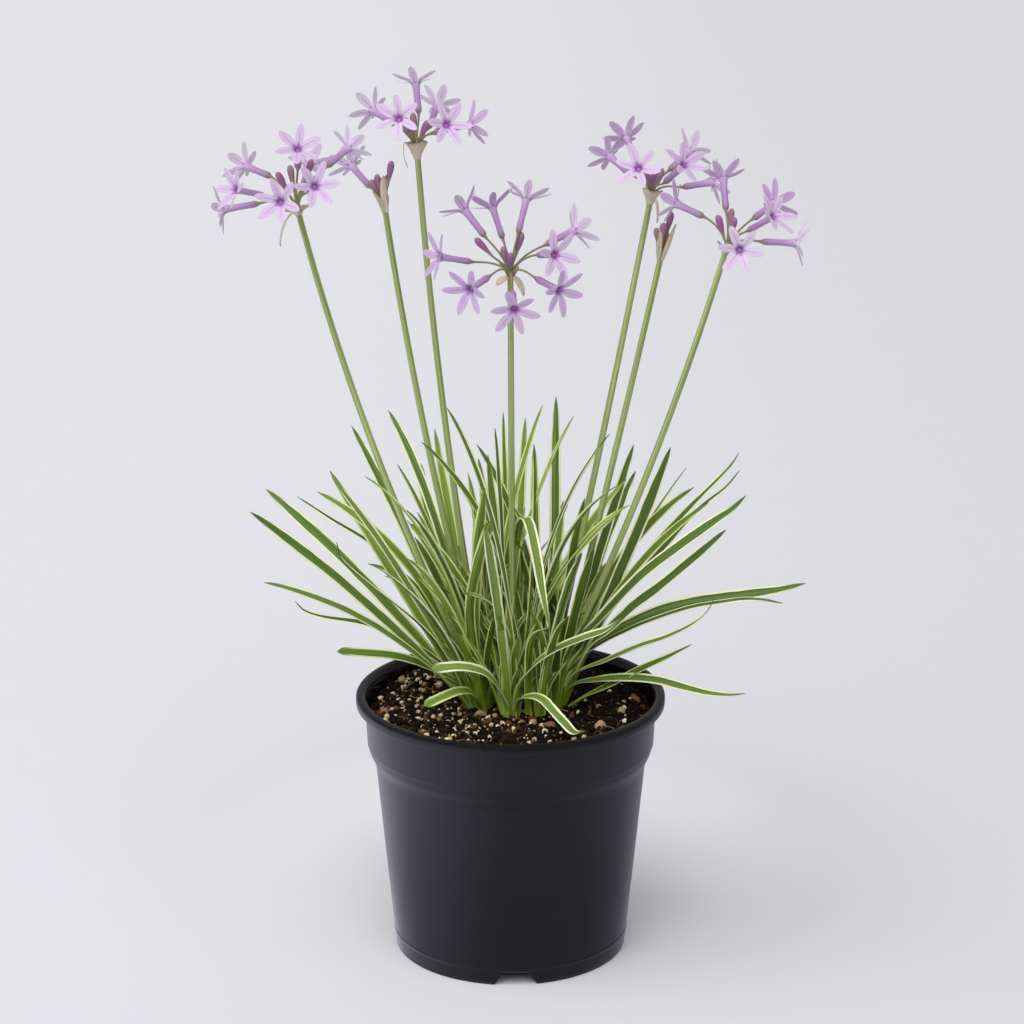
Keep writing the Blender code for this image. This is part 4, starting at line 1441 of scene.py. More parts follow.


# Where a leaf is given how light it is, that is partly its own colour and partly painted shade.
BLADES = (
    Blade("left", 6.2, 55, (-134, -28, 251), 2, lightness=0.3),
    Blade("left", 6.2, 50, (-131, 40, 243), 3, lightness=0.55),
    Blade("left", 2.3, 20, lightness=0.1, route=(
        (-20, 3, 131), (-26, 4, 153), (-38, 10, 172), (-54, 22, 193), (-67, 34, 207), (-78, 42, 214),
        (-98, 55, 222), (-116, 66, 231),
    )),
    Blade("left", 5.5, 45, (-92, -20, 267), 2, lightness=0.8),
    Blade("left", 5.8, 30, (-125, -62, 224), 8, lightness=0.6),
    Blade("left", 4.5, 10, lightness=0.0, end=BladeEnd.SLENDER, route=(
        (-20, -4, 131), (-35, -8, 165), (-45, -20, 184), (-60, -36, 204), (-73, -50, 220),
        (-81.5, -60, 231), (-86, -66, 239), (-87.5, -70, 248),
    )),
    Blade("left", 5.0, 30, (-86, 66, 271), 3, lightness=0.45),
    Blade("left", 5.0, 20, (-67, 91, 273), 15, lightness=0.5),
    Blade("left", 6.0, 15, (-53, -41, 256), 12, lightness=0.65),
    Blade("left", 4.5, 10, (-70, -90, 243), 9, lightness=0.5, end=BladeEnd.SLENDER),
    Blade("left", 4.0, 20, lightness=0.05, end=BladeEnd.SLENDER, route=(
        (-20, 1, 131), (-27, 1, 147), (-43, 5, 161), (-62, 9, 171), (-79, 12, 176.5), (-99, 15, 179),
        (-110, 17, 182), (-115, 18, 187),
    )),
    Blade("middle", 5.8, 40, lightness=0.75, end=BladeEnd.BLUNT, route=(
        (-1, -15, 131), (-2, -18, 140), (-7, -22, 153), (-12, -27, 161), (-18, -32, 166),
        (-28, -37, 169.5), (-41, -42, 170),
    )),
    Blade("middle", 5.8, 60, (-32, -44, 311), 14, sway=10, lightness=0.55),
    Blade("middle", 5.0, 0, (-8, -10, 291), 2, lightness=0.4),
    Blade("middle", 5.0, 0, (-13, -84, 262), 4, lightness=0.7),
    Blade("middle", 4.8, 25, lightness=0.7, route=(
        (3, -15, 131), (3.5, -19, 140), (6, -25, 147), (12, -32, 151), (17, -39, 152), (22, -47, 149.5),
        (28, -55, 145), (33, -63, 142.5), (38, -69, 146),
    )),
    Blade("middle", 5.6, 30, lightness=0.75, route=(
        (2, -14, 131), (3, -18, 140), (5, -23, 154), (11, -27, 165), (17, -32, 173), (26, -36, 180),
        (39, -41, 187), (50, -46, 193), (57, -50, 201),
    )),
    Blade("front", 5.5, 0, lightness=0.7, route=(
        (3, -12, 131), (3.5, -8, 165), (3, -4, 190), (3, -2, 215), (5, -10, 238), (9, -24, 245),
        (13, -38, 232), (16, -52, 216), (20, -64, 200),
    )),
    Blade("front", 5.0, 15, (54, -67, 277), 22, lightness=0.6),
    Blade("front", 5.0, 5, (36, -72, 243), 5, lightness=0.5),
    Blade("front", 5.0, 15, (51, -18, 290), 14, lightness=0.3),
    Blade("right", 5.5, 0, (24, 26, 298), 0, lightness=0.5),
    Blade("right", 5.0, 35, (66, 46, 266), 1, lightness=0.15),
    Blade("right", 6.2, 60, (84, 10, 275), -3, lightness=0.05),
    Blade("right", 4.2, 40, lightness=0.4, end=BladeEnd.SLENDER, route=(
        (28, 3, 131), (33, 6, 163), (48, 12, 184), (69, 18, 208), (90, 24, 231.5), (103.5, 28, 245),
        (112.5, 31, 253.5), (118.5, 33, 260), (121.5, 34, 265),
    )),
    Blade("right", 3.8, 20, lightness=0.0, end=BladeEnd.SLENDER, route=(
        (28, 4, 131), (33, 8, 160), (48, 18, 175.5), (70, 32, 198), (86, 42, 213.5), (97, 50, 224),
        (107, 56, 231.5), (116.5, 61, 237.5), (124.5, 66, 246),
    )),
    Blade("right", 6.5, 45, lightness=0.2, route=(
        (28, 2, 131), (32, 0, 163), (47, -5, 184), (68, -10, 210), (88.5, -15, 229), (104, -18, 241.5),
        (115.5, -20, 250.5), (121.5, -22, 258),
    )),
    Blade("right", 7.0, 60, lightness=0.0, route=(
        (28, 1, 131), (42, -8, 168.5), (53, -18, 184.5), (63, -28, 199), (74.5, -40, 212.5),
        (86.5, -52, 227), (98.5, -64, 242), (108, -75, 256),
    )),
    Blade("right", 5.8, 50, lightness=0.25, route=(
        (28, 3, 131), (33, 3, 156), (50, 2, 172.5), (64.5, 1, 181), (79, 0, 188), (95, -1, 193),
        (113, -2, 196), (129, -3, 198.5), (142, -4, 201), (155.5, -4, 204.5),
    )),
    Blade("right", 3.6, 25, lightness=0.15, route=(
        (27, 0, 131), (33, -3, 157), (47, -12, 173), (62.5, -22, 185), (78, -32, 195), (94, -42, 204),
        (107.5, -49, 209), (120, -53, 212), (130, -56, 212.5), (139, -58, 211.5),
    )),
    Blade("right", 5.0, 30, lightness=0.55, end=BladeEnd.SLENDER, route=(
        (27, 0, 131), (34, -8, 154), (50, -22, 167.5), (67, -38, 181), (79.5, -50, 190),
        (90.5, -62, 200), (97, -70, 208), (101, -75, 215.5), (102.5, -78, 221),
    )),
    Blade("right", 5.0, 40, lightness=0.45, end=BladeEnd.SLENDER, route=(
        (27, 0, 131), (32, -4, 146), (45, -12, 153), (60, -22, 158), (75.5, -32, 160.5), (88, -40, 160),
        (101, -47, 159), (112.5, -53, 159.8), (121, -58, 162.5),
    )),
    Blade("right", 5.0, 20, (69, 92, 238), 6, lightness=0.1),
)
"""The leaves that are solids of their own, in the order of their numbers in each tuft."""

INNER_BLADES = (
    Blade("left", 5.0, 40, (-102, 15, 249), 16),
    Blade("left", 4.8, 40, lightness=0.25, end=BladeEnd.BLUNT, route=(
        (-20, 0, 131), (-27, -3, 146), (-37.5, -6, 155), (-50.5, -10, 163), (-63.5, -13, 167.5),
        (-78, -17, 170), (-91, -20, 172),
    )),
    Blade("left", 5.0, 40, end=BladeEnd.BLUNT, route=(
        (-15, -2, 131), (-17, -9, 138), (-20, -17, 147), (-24, -26, 152), (-31, -35, 154),
        (-45, -45, 151),
    )),
    Blade("left", 5.0, 20, (-73, -65, 281), 18),
    Blade("left", 3.0, 30, (-60, 20, 263), 8),
    Blade("left", 6.0, 10, (-52, -75, 241), 10),
    Blade("left", 4.8, 20, (-51, 95, 243), -8, end=BladeEnd.BLUNT),
    Blade("left", 5.0, 10, (-41, 60, 271), 0),
    Blade("left", 3.2, 40, (-77, 40, 201), 17),
    Blade("left", 4.8, 20, (-70, 98, 175), 14),
    Blade("left", 5.5, 40, (-97, 45, 252), -2),
    Blade("left", 5.4, 0, (33, 10, 292), 8),
    Blade("left", 4.0, 0, (17, 25, 294), 9),
    Blade("left", 5.8, 0, route=(
        (-12, -5, 131), (-19, -14, 176), (-17, -30, 226), (-16, -38, 244), (-13, -45, 269),
    )),
    Blade("left", 5.2, 0, end=BladeEnd.BLUNT, route=(
        (-13, -8, 131), (-21, -22, 189), (-17, -38, 225), (-10, -50, 253),
    )),
    Blade("middle", 5.0, 20, (-46, -15, 285), 18),
    Blade("middle", 5.2, 30, (-53, 0, 236), 12, end=BladeEnd.BLUNT),
    Blade("middle", 4.6, 30, (-48, -30, 216), 4),
    Blade("middle", 5.0, 20, (-25, -50, 214), 17),
    Blade("middle", 4.6, 0, (-22, -10, 267), -1),
    Blade("middle", 4.5, 0, (-23, 90, 236), 0),
    Blade("middle", 5.0, 0, (-17, 30, 263), 2),
    Blade("middle", 3.0, 0, (-4, 70, 278), 2),
    Blade("middle", 5.0, 0, (-12, 20, 268), 2),
    Blade("middle", 4.4, 0, (8, 50, 280), 2),
    Blade("middle", 3.6, 0, (12, -20, 285), -4),
    Blade("middle", 4.8, 0, (-20, 95, 195), 12),
    Blade("middle", 5.6, 20, (61, -35, 257), 16),
    Blade("middle", 4.8, 20, (62, 35, 250), 13),
    Blade("middle", 4.8, 20, (58, 8, 240), 15),
    Blade("front", 4.8, 0, (13, 95, 252), 4),
    Blade("front", 4.8, 0, (35, 98, 180), 12),
    Blade("front", 4.8, 10, (-32, 12, 262), 12),
    Blade("front", 4.4, 20, (30, -62, 206), 8),
    Blade("front", 4.8, 10, route=(
        (9, -16, 131), (9.5, -20, 150), (10, -27, 170), (11, -34, 182), (14, -40, 190), (21, -48, 195),
    )),
    Blade("right", 2.2, 20, (95, 60, 249), 5, lightness=0.0, end=BladeEnd.SLENDER),
    Blade("right", 5.0, 40, (97, 20, 250), 14),
    Blade("right", 4.2, 40, (104, 5, 246), 10),
    Blade("right", 4.6, 40, (94, -40, 183), -2, lightness=0.2, end=BladeEnd.SLENDER),
    Blade("right", 4.8, 30, (85, 92, 185), 12),
    Blade("right", 4.8, 10, (-18, 40, 268), 14),
    Blade("right", 5.0, 10, (-2, 12, 246), 10),
    Blade("right", 4.8, 10, (38, -40, 262), 6),
)
"""The leaves between and behind them."""


@dataclass
class LeafTufts:
    """All the leaves, tuft by tuft, with the young shoots that fill each tuft's foot."""

    rows: int = 40
    columns: int = 9
    seed: int = 21
    shoots: int = 15
    shoot_length: tuple[float, float] = (26, 75)
    fillers: int = 12
    filler_length: tuple[float, float] = (55, 118)
    filler_lean: tuple[float, float] = (0.12, 0.52)

    def build_outer(self, finish: Material) -> None:
        """The leaves that are solids of their own in the part, numbered within each tuft."""
        counts = dict.fromkeys(CROWNS, 0)
        for place, blade in enumerate(BLADES):
            counts[blade.crown] += 1
            node = "leaf_%s_%02d" % (blade.crown, counts[blade.crown])
            rng = np.random.default_rng([self.seed, place])
            skin = Skin()
            skin.sheet(*blade.surface(self.rows, self.columns, rng), blade.tone(rng))
            skin.make("strap_" + node, finish, (node,), crease=60)

    def build_inner(self, finish: Material) -> None:
        """The leaves between and behind them, one piece for each tuft."""
        for place, crown in enumerate(CROWNS):
            skin = Skin()
            for number, blade in enumerate(INNER_BLADES):
                if blade.crown != crown:
                    continue
                rng = np.random.default_rng([self.seed, place, number])
                skin.sheet(*blade.surface(self.rows, self.columns, rng), blade.tone(rng))
            self.fill(skin, crown, np.random.default_rng([self.seed, 80, place]))
            skin.make("inner_leaves_" + crown, finish, crease=60)

    def fill(self, skin: Skin, crown: str, rng: Random) -> None:
        """Adds shorter leaves that stand up through a tuft and cross one another."""
        middle = CROWNS[crown].middle
        for _ in range(int(self.fillers * CROWNS[crown].radius / 8)):
            heading = rng.uniform(0, 2 * math.pi)
            length, lean = rng.uniform(*self.filler_length), rng.uniform(*self.filler_lean)
            if crown in ("middle", "front") and math.sin(heading) < 0.2:
                heading = -heading if math.sin(heading) < 0 else heading + 0.6
            flat = np.array([math.cos(heading), 0.8 * math.sin(heading), 0.0]) * length * lean
            tip = middle + flat + UP * length * math.sqrt(1 - lean**2)
            arch, width, roll = rng.uniform(1, 9), rng.uniform(4.2, 6.0), rng.uniform(-20, 20)
            blade = Blade(crown, width, roll, tuple(tip), arch)
            skin.sheet(*blade.surface(30, 7, rng), blade.tone(rng))

    def build_shoots(self, finish: Material) -> None:
        """Short young leaves, channelled and upright, that stand close together in each crown."""
        for place, (name, crown) in enumerate(CROWNS.items()):
            rng = np.random.default_rng([self.seed, 50, place])
            skin = Skin()
            for _ in range(int(self.shoots * (crown.radius / 9) ** 2)):
                heading = rng.uniform(0, 2 * math.pi)
                off = crown.radius * 0.62 * math.sqrt(rng.uniform(0, 1))
                out = turned(1.0, 0.0, heading)
                foot = crown.middle + out * off - UP * 6
                length = rng.uniform(*self.shoot_length)
                lean = (0.15 + 0.6 * off / crown.radius) * length
                tip = foot + out * lean + UP * length
                middle = foot + out * lean * 0.3 + UP * length * 0.55
                route = (tuple(foot), tuple(middle), tuple(tip))
                blade = Blade(name, rng.uniform(3.4, 4.8), 0, route=route)
                skin.sheet(*blade.surface(18, 7, rng), rng.uniform(0, 1))
            skin.make("young_shoots_" + name, finish, ("crown_" + name,), crease=60)

    def build(self) -> None:
        """Every tuft, dressed."""
        self.build_outer(LeafFinish().material())
        # The inner leaves' foot colour is likewise darkened with painted shade.
        inner = LeafFinish(
            name="inner_leaf", green="#779334", dark="#38550f", light="#b5cc5c",
            margin="#dae598", margin_foot="#ccda74", foot="#8ba428",
        ).material()
        self.build_inner(inner)
        self.build_shoots(inner)


# ---- Flower stalks and heads ----


@dataclass(frozen=True)
class Flower:
    """A flower, measured from its hub: its throat, where its tube starts, and its tepals' turn."""

    throat: Point
    foot: Point
    turn: float


@dataclass(frozen=True)
class Bract:
    """A papery bract round the neck of a head.

    Its angle is measured round the stalk from the right, over the back. It starts at its foot,
    measured from the hub, so far out from the stalk's middle line. It leans from the stalk's own
    direction by its first lean and ends at its second, and wraps so many degrees to either side.
    Its tip keeps a share of that, and its point says how late it closes in.
    """

    angle: float
    length: float
    wrap: float
    lean: tuple[float, float]
    foot: float = -3.0
    tone: float = 0.0
    power: float = 1.0
    tip: float = 0.1
    point: float = 1.6
    out: float = 1.7


@dataclass(frozen=True)
class Stalk:
    """A flower stalk and its head, whose flowers open to its bloom's share of the full width.

    It comes out of its crown's top, and its roots are depths under that.
    """

    number: str
    crown: str
    foot: tuple[float, float]
    neck: Point
    arch: float
    flowers: tuple[Flower, ...]
    buds: tuple[Point, ...]
    bracts: tuple[Bract, ...]
    bloom: float = 0.92
    foot_radius: float = 1.85
    neck_radius: float = 1.5
    top: float = 147.3
    roots: tuple[float, ...] = (15.0, 10.0, 5.0)
    sides: int = 20

    def line(self, shares: Array) -> Array:
        """The stalk's middle line: a quadratic curve whose middle stands its arch over the chord."""
        crown = CROWNS[self.crown]
        start = np.array([crown.x + self.foot[0], crown.y + self.foot[1], self.top])
        end = np.array(self.neck, float)
        return bezier([start, arched(start, end, self.arch), end], shares)

    def axis(self) -> Array:
        """The direction in which the stalk comes into its head."""
        last = self.line(np.array([0.999, 1.0]))
        return unit(last[1] - last[0])

    def hub(self) -> Array:
        """Where the head's stems meet."""
        return np.array(self.neck, float) + self.axis() * 0.3

    def build(self, finish: Material) -> None:
        """The stalk itself, from under the leaves' feet to the neck."""
        line = self.line(np.linspace(0, 1, 36))
        root = line[0] - UP * np.array(self.roots)[:, None]
        path = np.concatenate([root, line])
        shares = np.linspace(0, 1, len(path))
        turns = round_turn(self.sides)
        ridge = 1 + 0.035 * np.cos(5 * turns) + 0.02 * np.cos(8 * turns + 1)
        radii = self.foot_radius + (self.neck_radius - self.foot_radius) * shares
        skin = Skin()
        tone = int(self.number) / len(STALKS)
        skin.tube(pipe(path, radii[:, None] * ridge, self.sides), tone)
        skin.make("flower_stalk_" + self.number, finish, ("stalk_" + self.number,))


STALKS = (
    Stalk(
        "1", "left", (-2.5, 0.2), (-108, -10, 406), -7,
        flowers=(
            Flower((2, -18, 34), (1, -5, 22), 20), Flower((11, -32, 18), (7, -16, 12), 5),
            Flower((-6, -36, 11), (-3, -20, 6), -15), Flower((-27, 20, 18), (-14, 9, 15), 40),
            Flower((-29, -20, 14), (-16, -10, 9), 10), Flower((-37, 4, -1), (-20, 4, 2), 25),
            Flower((25, 22, 27), (15, 10, 20), 30), Flower((4, 33, 16), (2, 19, 8), 0),
        ),
        buds=((-10, 0, 19), (8, -2, 26), (-4, 8, 21)),
        bracts=(
            Bract(205, 7, 95, (30, 75), tone=0.1, tip=0.4),
            Bract(20, 6, 95, (30, 80), tone=0.15, tip=0.4),
            Bract(200, 20, 13, (70, 168), foot=-1.5, power=0.35, tip=0.06, point=1.1),
        ),
    ),
    Stalk(
        "2", "left", (1.3, 2.6), (-65, 20, 401), -4,
        flowers=(Flower((-18, 27, 16), (-8, 16, 7), 15),),
        buds=((4, 0, 24), (-4, 0, 17), (-7, 1, 14)),
        bracts=(
            Bract(325, 19, 95, (4, 6), tone=0.05, tip=0.35, point=2.4),
            Bract(205, 12, 72, (12, 20), tone=0.6, tip=0.1),
            Bract(90, 11, 90, (6, 18), tone=0.3, tip=0.3),
        ),
    ),
    Stalk(
        "3", "left", (1.6, -2.0), (-48, 15, 433), -4,
        flowers=(
            Flower((-0.5, 12, 30.5), (1, 6, 16.5), 10), Flower((16, -30, 17), (10, -15, 10), 50),
            Flower((-8, -30, 20), (-5, -15, 12), 35), Flower((10, 31, 16), (6, 17, 7), 0),
            Flower((27, 19, 8), (13, 10, 7), 20), Flower((-23, 27, 14), (-12, 15, 9), 45),
        ),
        buds=((-8, -4, 14), (-6, 2, 15), (-2, 5, 17), (6, 0, 14)),
        bracts=(
            Bract(270, 10, 96, (14, 38), foot=-6.2, tip=0.92),
            Bract(90, 10, 96, (14, 38), foot=-6.2, tone=0.1, tip=0.92),
            Bract(190, 12.5, 8, (168, 202), foot=2.6, tone=0.2, tip=0.1, out=6.4),
        ),
    ),
    Stalk(
        "4", "middle", (1.2, 1.0), (0, -15, 373), 0,
        flowers=(
            Flower((-35, -8, 11), (-20, -1, 7), 5), Flower((-20, -32, 0), (-11, -18, 3), 5),
            Flower((2, -37, -9), (1, -21, -4), -12), Flower((24, -30, -1), (13, -17, 2), -15),
            Flower((22, -26, 16), (14, -12, 13), -15), Flower((32, 4, 22), (18, -6, 17), 30),
            Flower((8, 8, 37), (4, -1, 22), 50), Flower((-9, 21, 30), (-4, 13, 16), 10),
            Flower((-23, 6, 32), (-13, 0, 20), 35),
        ),
        buds=((-18, 0, 19), (6, 0, 22), (-4, -1, 15), (0, -7, 13)),
        bracts=(
            Bract(318, 12.5, 34, (62, 172), foot=-1, tone=0.1, power=0.4, tip=0.04, point=0.9),
            Bract(218, 8, 45, (60, 150), foot=-1, tone=0.15, power=0.6, tip=0.15),
            Bract(160, 9, 60, (20, 42), foot=-1, tone=0.35, tip=0.15),
            Bract(80, 7, 80, (30, 70), foot=-1, tone=0.1, tip=0.3),
        ),
        bloom=1.0,
    ),
    Stalk(
        "5", "right", (-2.2, 1.25), (73, 30, 405), -1,
        flowers=(
            Flower((-21, 22, 16), (-11, 11, 9), 15), Flower((-12, 30, 24), (-7, 16, 15), 40),
            Flower((-8, -31, 20), (-5, -17, 12), -10), Flower((15, -28, 21), (6, -17, 10), 20),
            Flower((21, 26, 18), (10, 16, 10), 0), Flower((32, 18, 3), (17, 11, 2), 25),
        ),
        buds=((-3, -3, 14), (2, 2, 15), (6, 0, 14)),
        bracts=(
            Bract(255, 8.5, 98, (16, 36), foot=-4.8, tone=0.1, tip=0.8),
            Bract(75, 8.5, 98, (16, 36), foot=-4.8, tone=0.2, tip=0.8),
            Bract(305, 15, 12, (60, 176), foot=-1, power=0.3, tip=0.1, point=0.9),
        ),
    ),
    Stalk(
        "6", "right", (2.2, 1.25), (78, 15, 377), -1,
        flowers=(),
        buds=((5, 2, 22), (1, -2, 17), (-3, 0, 14)),
        bracts=(
            Bract(190, 18.5, 74, (21, -9), tone=0.6, tip=0.25, point=2.2),
            Bract(345, 20, 74, (14, -2), tone=0.1, tip=0.25, point=2.2),
            Bract(95, 15, 70, (10, 2), tone=0.3, tip=0.3, point=2.0),
        ),
    ),
    Stalk(
        "7", "right", (0.0, -2.55), (110, -10, 386), -5,
        flowers=(
            Flower((-25, 14.5, 19.5), (-11.7, 8, 14.4), 20), Flower((-1, 23, 31), (0, 12, 17), 5),
            Flower((21, -24, 21), (10, -14, 12), -15), Flower((25, 22, 18), (14, 10, 13), 35),
            Flower((35, 6, 1), (18, 5, 2), 15), Flower((4, -37, 7), (3, -20, 4), -10),
        ),
        buds=((-5, 0, 17), (4, -1, 16), (3, 11, 18)),
        bracts=(
            Bract(215, 7, 90, (20, 60), tone=0.65, tip=0.3),
            Bract(35, 7, 90, (20, 60), tone=0.6, tip=0.3),
        ),
    ),
)


HUB_PROFILE = ((-1.2, 1.45), (0.0, 1.6), (1.2, 2.0), (2.2, 1.9), (3.0, 1.3), (3.5, 0.5))
"""The swelling where a head's stems meet: height over the hub, and radius."""

TUBE_PROFILE = (
    (0.0, 0.8), (0.04, 1.45), (0.12, 1.75), (0.25, 1.68), (0.45, 1.6), (0.65, 1.66), (0.82, 1.8),
    (0.93, 2.02), (0.985, 2.3), (1.0, 2.35), (0.985, 2.1), (0.95, 1.3), (0.925, 0.6),
)
"""A tube's outside and then its inside: share of its length, and radius."""


@dataclass
class FlowerHead:
    """The head on one stalk: hub and stems, tubes, tepals, buds and papery bracts."""

    stalk: Stalk
    stem_radius: float = 0.55
    tepal_length: float = 15.4
    tepal_width: float = 4.7
    tepal_foot: tuple[float, float] = (0.75, -2.3)
    tepal_lean: tuple[float, float] = (30, 69)
    inner_rise: float = 0.22
    bud_length: float = 13.0
    bud_widest: float = 0.76

    def stem_path(self, end: Array, heading: Array) -> Array:
        """A stem's middle line: out of the hub, over a knee, and in line with what it carries."""
        hub, axis = self.stalk.hub(), self.stalk.axis()
        reach = np.linalg.norm(end - hub)
        knee = hub + unit(0.5 * axis + 0.6 * unit(end - hub)) * reach / 2
        controls = [hub + axis * 0.4, knee, end - heading * reach * 0.22, end + heading * 0.4]
        return bezier(controls, np.linspace(0, 1, 16))

    def bud_place(self, offset: Point) -> tuple[Array, Array]:
        """Foot and direction of a bud whose tip lies at an offset from the hub."""
        heading = unit(np.array(offset, float))
        return self.stalk.hub() + offset - heading * self.bud_length, heading

    def flower_place(self, flower: Flower) -> tuple[Array, Array, Array]:
        """Foot, throat and direction of a flower."""
        hub = self.stalk.hub()
        foot, throat = hub + flower.foot, hub + flower.throat
        return foot, throat, unit(throat - foot)

    def build_stems(self, finish: Material) -> None:
        """The swollen hub and a thin stem to every flower and bud."""
        skin = Skin()
        hub, axis = self.stalk.hub(), self.stalk.axis()
        heights, radii = np.array(HUB_PROFILE).T
        skin.tube(pipe(hub + heights[:, None] * axis, radii, 14), 0.4)
        for flower in self.stalk.flowers:
            foot, _, heading = self.flower_place(flower)
            path = self.stem_path(foot, heading)
            radii = self.stem_radius * (1 + 0.8 * smooth(np.linspace(0, 1, 16), 0.8, 1.0))
            skin.tube(pipe(path, radii, 9), 0.5)
        for offset in self.stalk.buds:
            foot, heading = self.bud_place(offset)
            skin.tube(pipe(self.stem_path(foot, heading), self.stem_radius * np.ones(16), 9), 0.3)
        self.finish_piece(skin, "flower_stems_", finish)

    def build_tubes(self, finish: Material) -> None:
        """Each flower's tube, which turns in at its mouth and runs down to a dark pit."""
        skin = Skin()
        run, radii = np.array(TUBE_PROFILE).T
        turns = round_turn(18)
        radii = radii[:, None] * (1 + 0.045 * np.cos(6 * turns))
        for number, flower in enumerate(self.stalk.flowers):
            foot, throat, heading = self.flower_place(flower)
            ring = ring_round(turns, *section_axes(heading))
            centre = foot + (throat - foot) * run[:, None]
            skin.tube(centre[:, None] + radii[..., None] * ring, (number * 0.37) % 1)
        self.finish_piece(skin, "flower_tubes_", finish)

    def tepal(self, flower: Flower, turn: float, inner: bool, rng: Random) -> tuple[Array, Array]:
        """A tepal's middle surface and thickness.

        Its middle line leaves the tube's inside nearly straight up and leans over more and more,
        so radius and height are the running sums of the sine and cosine of its lean. Its half
        width grows to two thirds of its length and closes in a round end.

        Args:
            flower: The flower that it belongs to.
            turn: Its place round the throat in radians.
            inner: Whether it stands in the inner ring, which is wider and lies on the outer.
            rng: Where its small differences come from.

        Returns:
            The surface, and the thickness at each of its points.
        """
        _, throat, heading = self.flower_place(flower)
        across, over = section_axes(heading)
        shares = np.linspace(0, 1, 15)
        length = self.tepal_length * self.stalk.bloom * rng.uniform(0.94, 1.05)
        first, last = self.tepal_lean
        last = last - 8 * max(0.0, heading[1]) + rng.uniform(-9, 9)
        lean = np.radians(first + (last - first) * smooth(shares, 0.04, 0.45))
        lean = lean + math.radians(rng.uniform(-4, 14)) * smooth(shares, 0.5, 1.0)
        step = length / (len(shares) - 1)
        radius = self.tepal_foot[0] + running(np.sin(lean[:-1]) * step)
        height = self.tepal_foot[1] + running(np.cos(lean[:-1]) * step)
        height = height + (self.inner_rise if inner else 0.0)
        out = math.cos(turn) * across + math.sin(turn) * over
        side = math.cos(turn) * over - math.sin(turn) * across
        drift = math.radians(rng.uniform(-5, 5)) * shares**1.5
        line = throat + height[:, None] * heading
        line = line + radius[:, None] * ring_round(drift, out, side)
        normal = ring_round(lean, -out, heading)
        roll = math.radians(rng.uniform(-12, 12)) * shares
        cross = ring_round(roll, side, normal)
        end = np.clip((shares - 0.58) / 0.42, 0, 1)
        half = 0.5 * self.tepal_width * (1.0 if inner else 0.88)
        half = half * (0.46 + 0.54 * smooth(shares, 0.02, 0.52))
        half = half * np.maximum(1 - end**2.2, 0.004) ** 0.6
        x = np.linspace(-1, 1, 7)
        cup = 0.22 * (1 - smooth(shares, 0.2, 0.6)) - 0.05
        middle = line[:, None] + (half[:, None] * x)[..., None] * cross[:, None]
        middle = middle + (half[:, None] * cup[:, None] * x**2)[..., None] * normal[:, None]
        thickness = (0.16 + 0.22 * (1 - x**2)) * (0.6 + 0.4 * (1 - shares))[:, None]
        return middle, thickness

    def build_tepals(self, finish: Material) -> None:
        """Six tepals round each throat, in two rings of three."""
        skin = Skin()
        for number, flower in enumerate(self.stalk.flowers):
            rng = np.random.default_rng([int(self.stalk.number), number])
            tone = rng.uniform(0, 1)
            for place in range(6):
                turn = math.radians(flower.turn + 60 * place + rng.uniform(-3, 3))
                surface = self.tepal(flower, turn, place % 2 == 0, rng)
                skin.sheet(*surface, tone)
        self.finish_piece(skin, "tepals_", finish)

    def build_buds(self, finish: Material) -> None:
        """Closed buds: clubs that are widest at three quarters of their length, with a round end."""
        skin = Skin()
        widest, rest = self.bud_widest, 1 - self.bud_widest
        ending = np.sin(np.linspace(0, math.pi / 2, 8))[1:]
        shares = np.concatenate([np.linspace(0, widest, 10), widest + rest * ending])
        swell = 0.68 + 1.12 * smooth(shares, 0.0, widest)
        swell = swell * np.maximum(1 - np.clip((shares - widest) / rest, 0, 1) ** 2, 0.004) ** 0.5
        turns = round_turn(12)
        seams = 1 + 0.06 * np.cos(3 * turns)
        for number, offset in enumerate(self.stalk.buds):
            foot, heading = self.bud_place(offset)
            ring = ring_round(turns, *section_axes(heading))
            centre = foot + shares[:, None] * self.bud_length * heading
            rings = centre[:, None] + (swell[:, None] * seams)[..., None] * ring
            skin.tube(rings, (number * 0.43) % 1)
        self.finish_piece(skin, "buds_", finish)

    def bract_surface(self, bract: Bract) -> tuple[Array, Array]:
        """A bract's middle surface and thickness.

        It is part of a surface turned round the stalk: radius and height are the running sums
        of the sine and cosine of its lean, and it wraps to either side by its own angle, which
        closes in towards its tip.

        Args:
            bract: The bract.

        Returns:
            The surface, and the thickness at each of its points.
        """
        hub, axis = self.stalk.hub(), self.stalk.axis()
        across, over = section_axes(axis, level=np.array([0.0, 1.0, 0.0]))
        shares = np.linspace(0, 1, 20)
        x = np.linspace(-1, 1, 15)
        low, high = np.radians(bract.lean)
        lean = low + (high - low) * shares**bract.power
        step = bract.length / (len(shares) - 1)
        radius = bract.out + running(np.sin(lean[:-1]) * step)
        height = bract.foot + running(np.cos(lean[:-1]) * step)
        narrowed = np.maximum(1 - shares**bract.point, 0.0) ** 0.8
        spread = math.radians(bract.wrap) * (bract.tip + (1 - bract.tip) * narrowed)
        crumple = np.sin(6 * shares[:, None] + 4 * x + bract.angle) * shares[:, None]
        turn = math.radians(bract.angle) + np.maximum(spread, 0.03)[:, None] * x
        out = radius[:, None] + 0.28 * crumple * np.abs(x)
        up = height[:, None] + 0.5 * shares[:, None] * np.sin(5 * x + bract.angle)
        ring = ring_round(turn, across, over)
        middle = hub + out[..., None] * ring + up[..., None] * axis
        return middle, 0.22 * np.ones(out.shape)

    def build_bracts(self, finish: Material) -> None:
        """The papery bracts that once closed over the young head."""
        skin = Skin()
        for bract in self.stalk.bracts:
            skin.sheet(*self.bract_surface(bract), bract.tone)
        name = "bracts_" + self.stalk.number
        skin.make(name, finish, ("spathe_" + self.stalk.number,), crease=60)

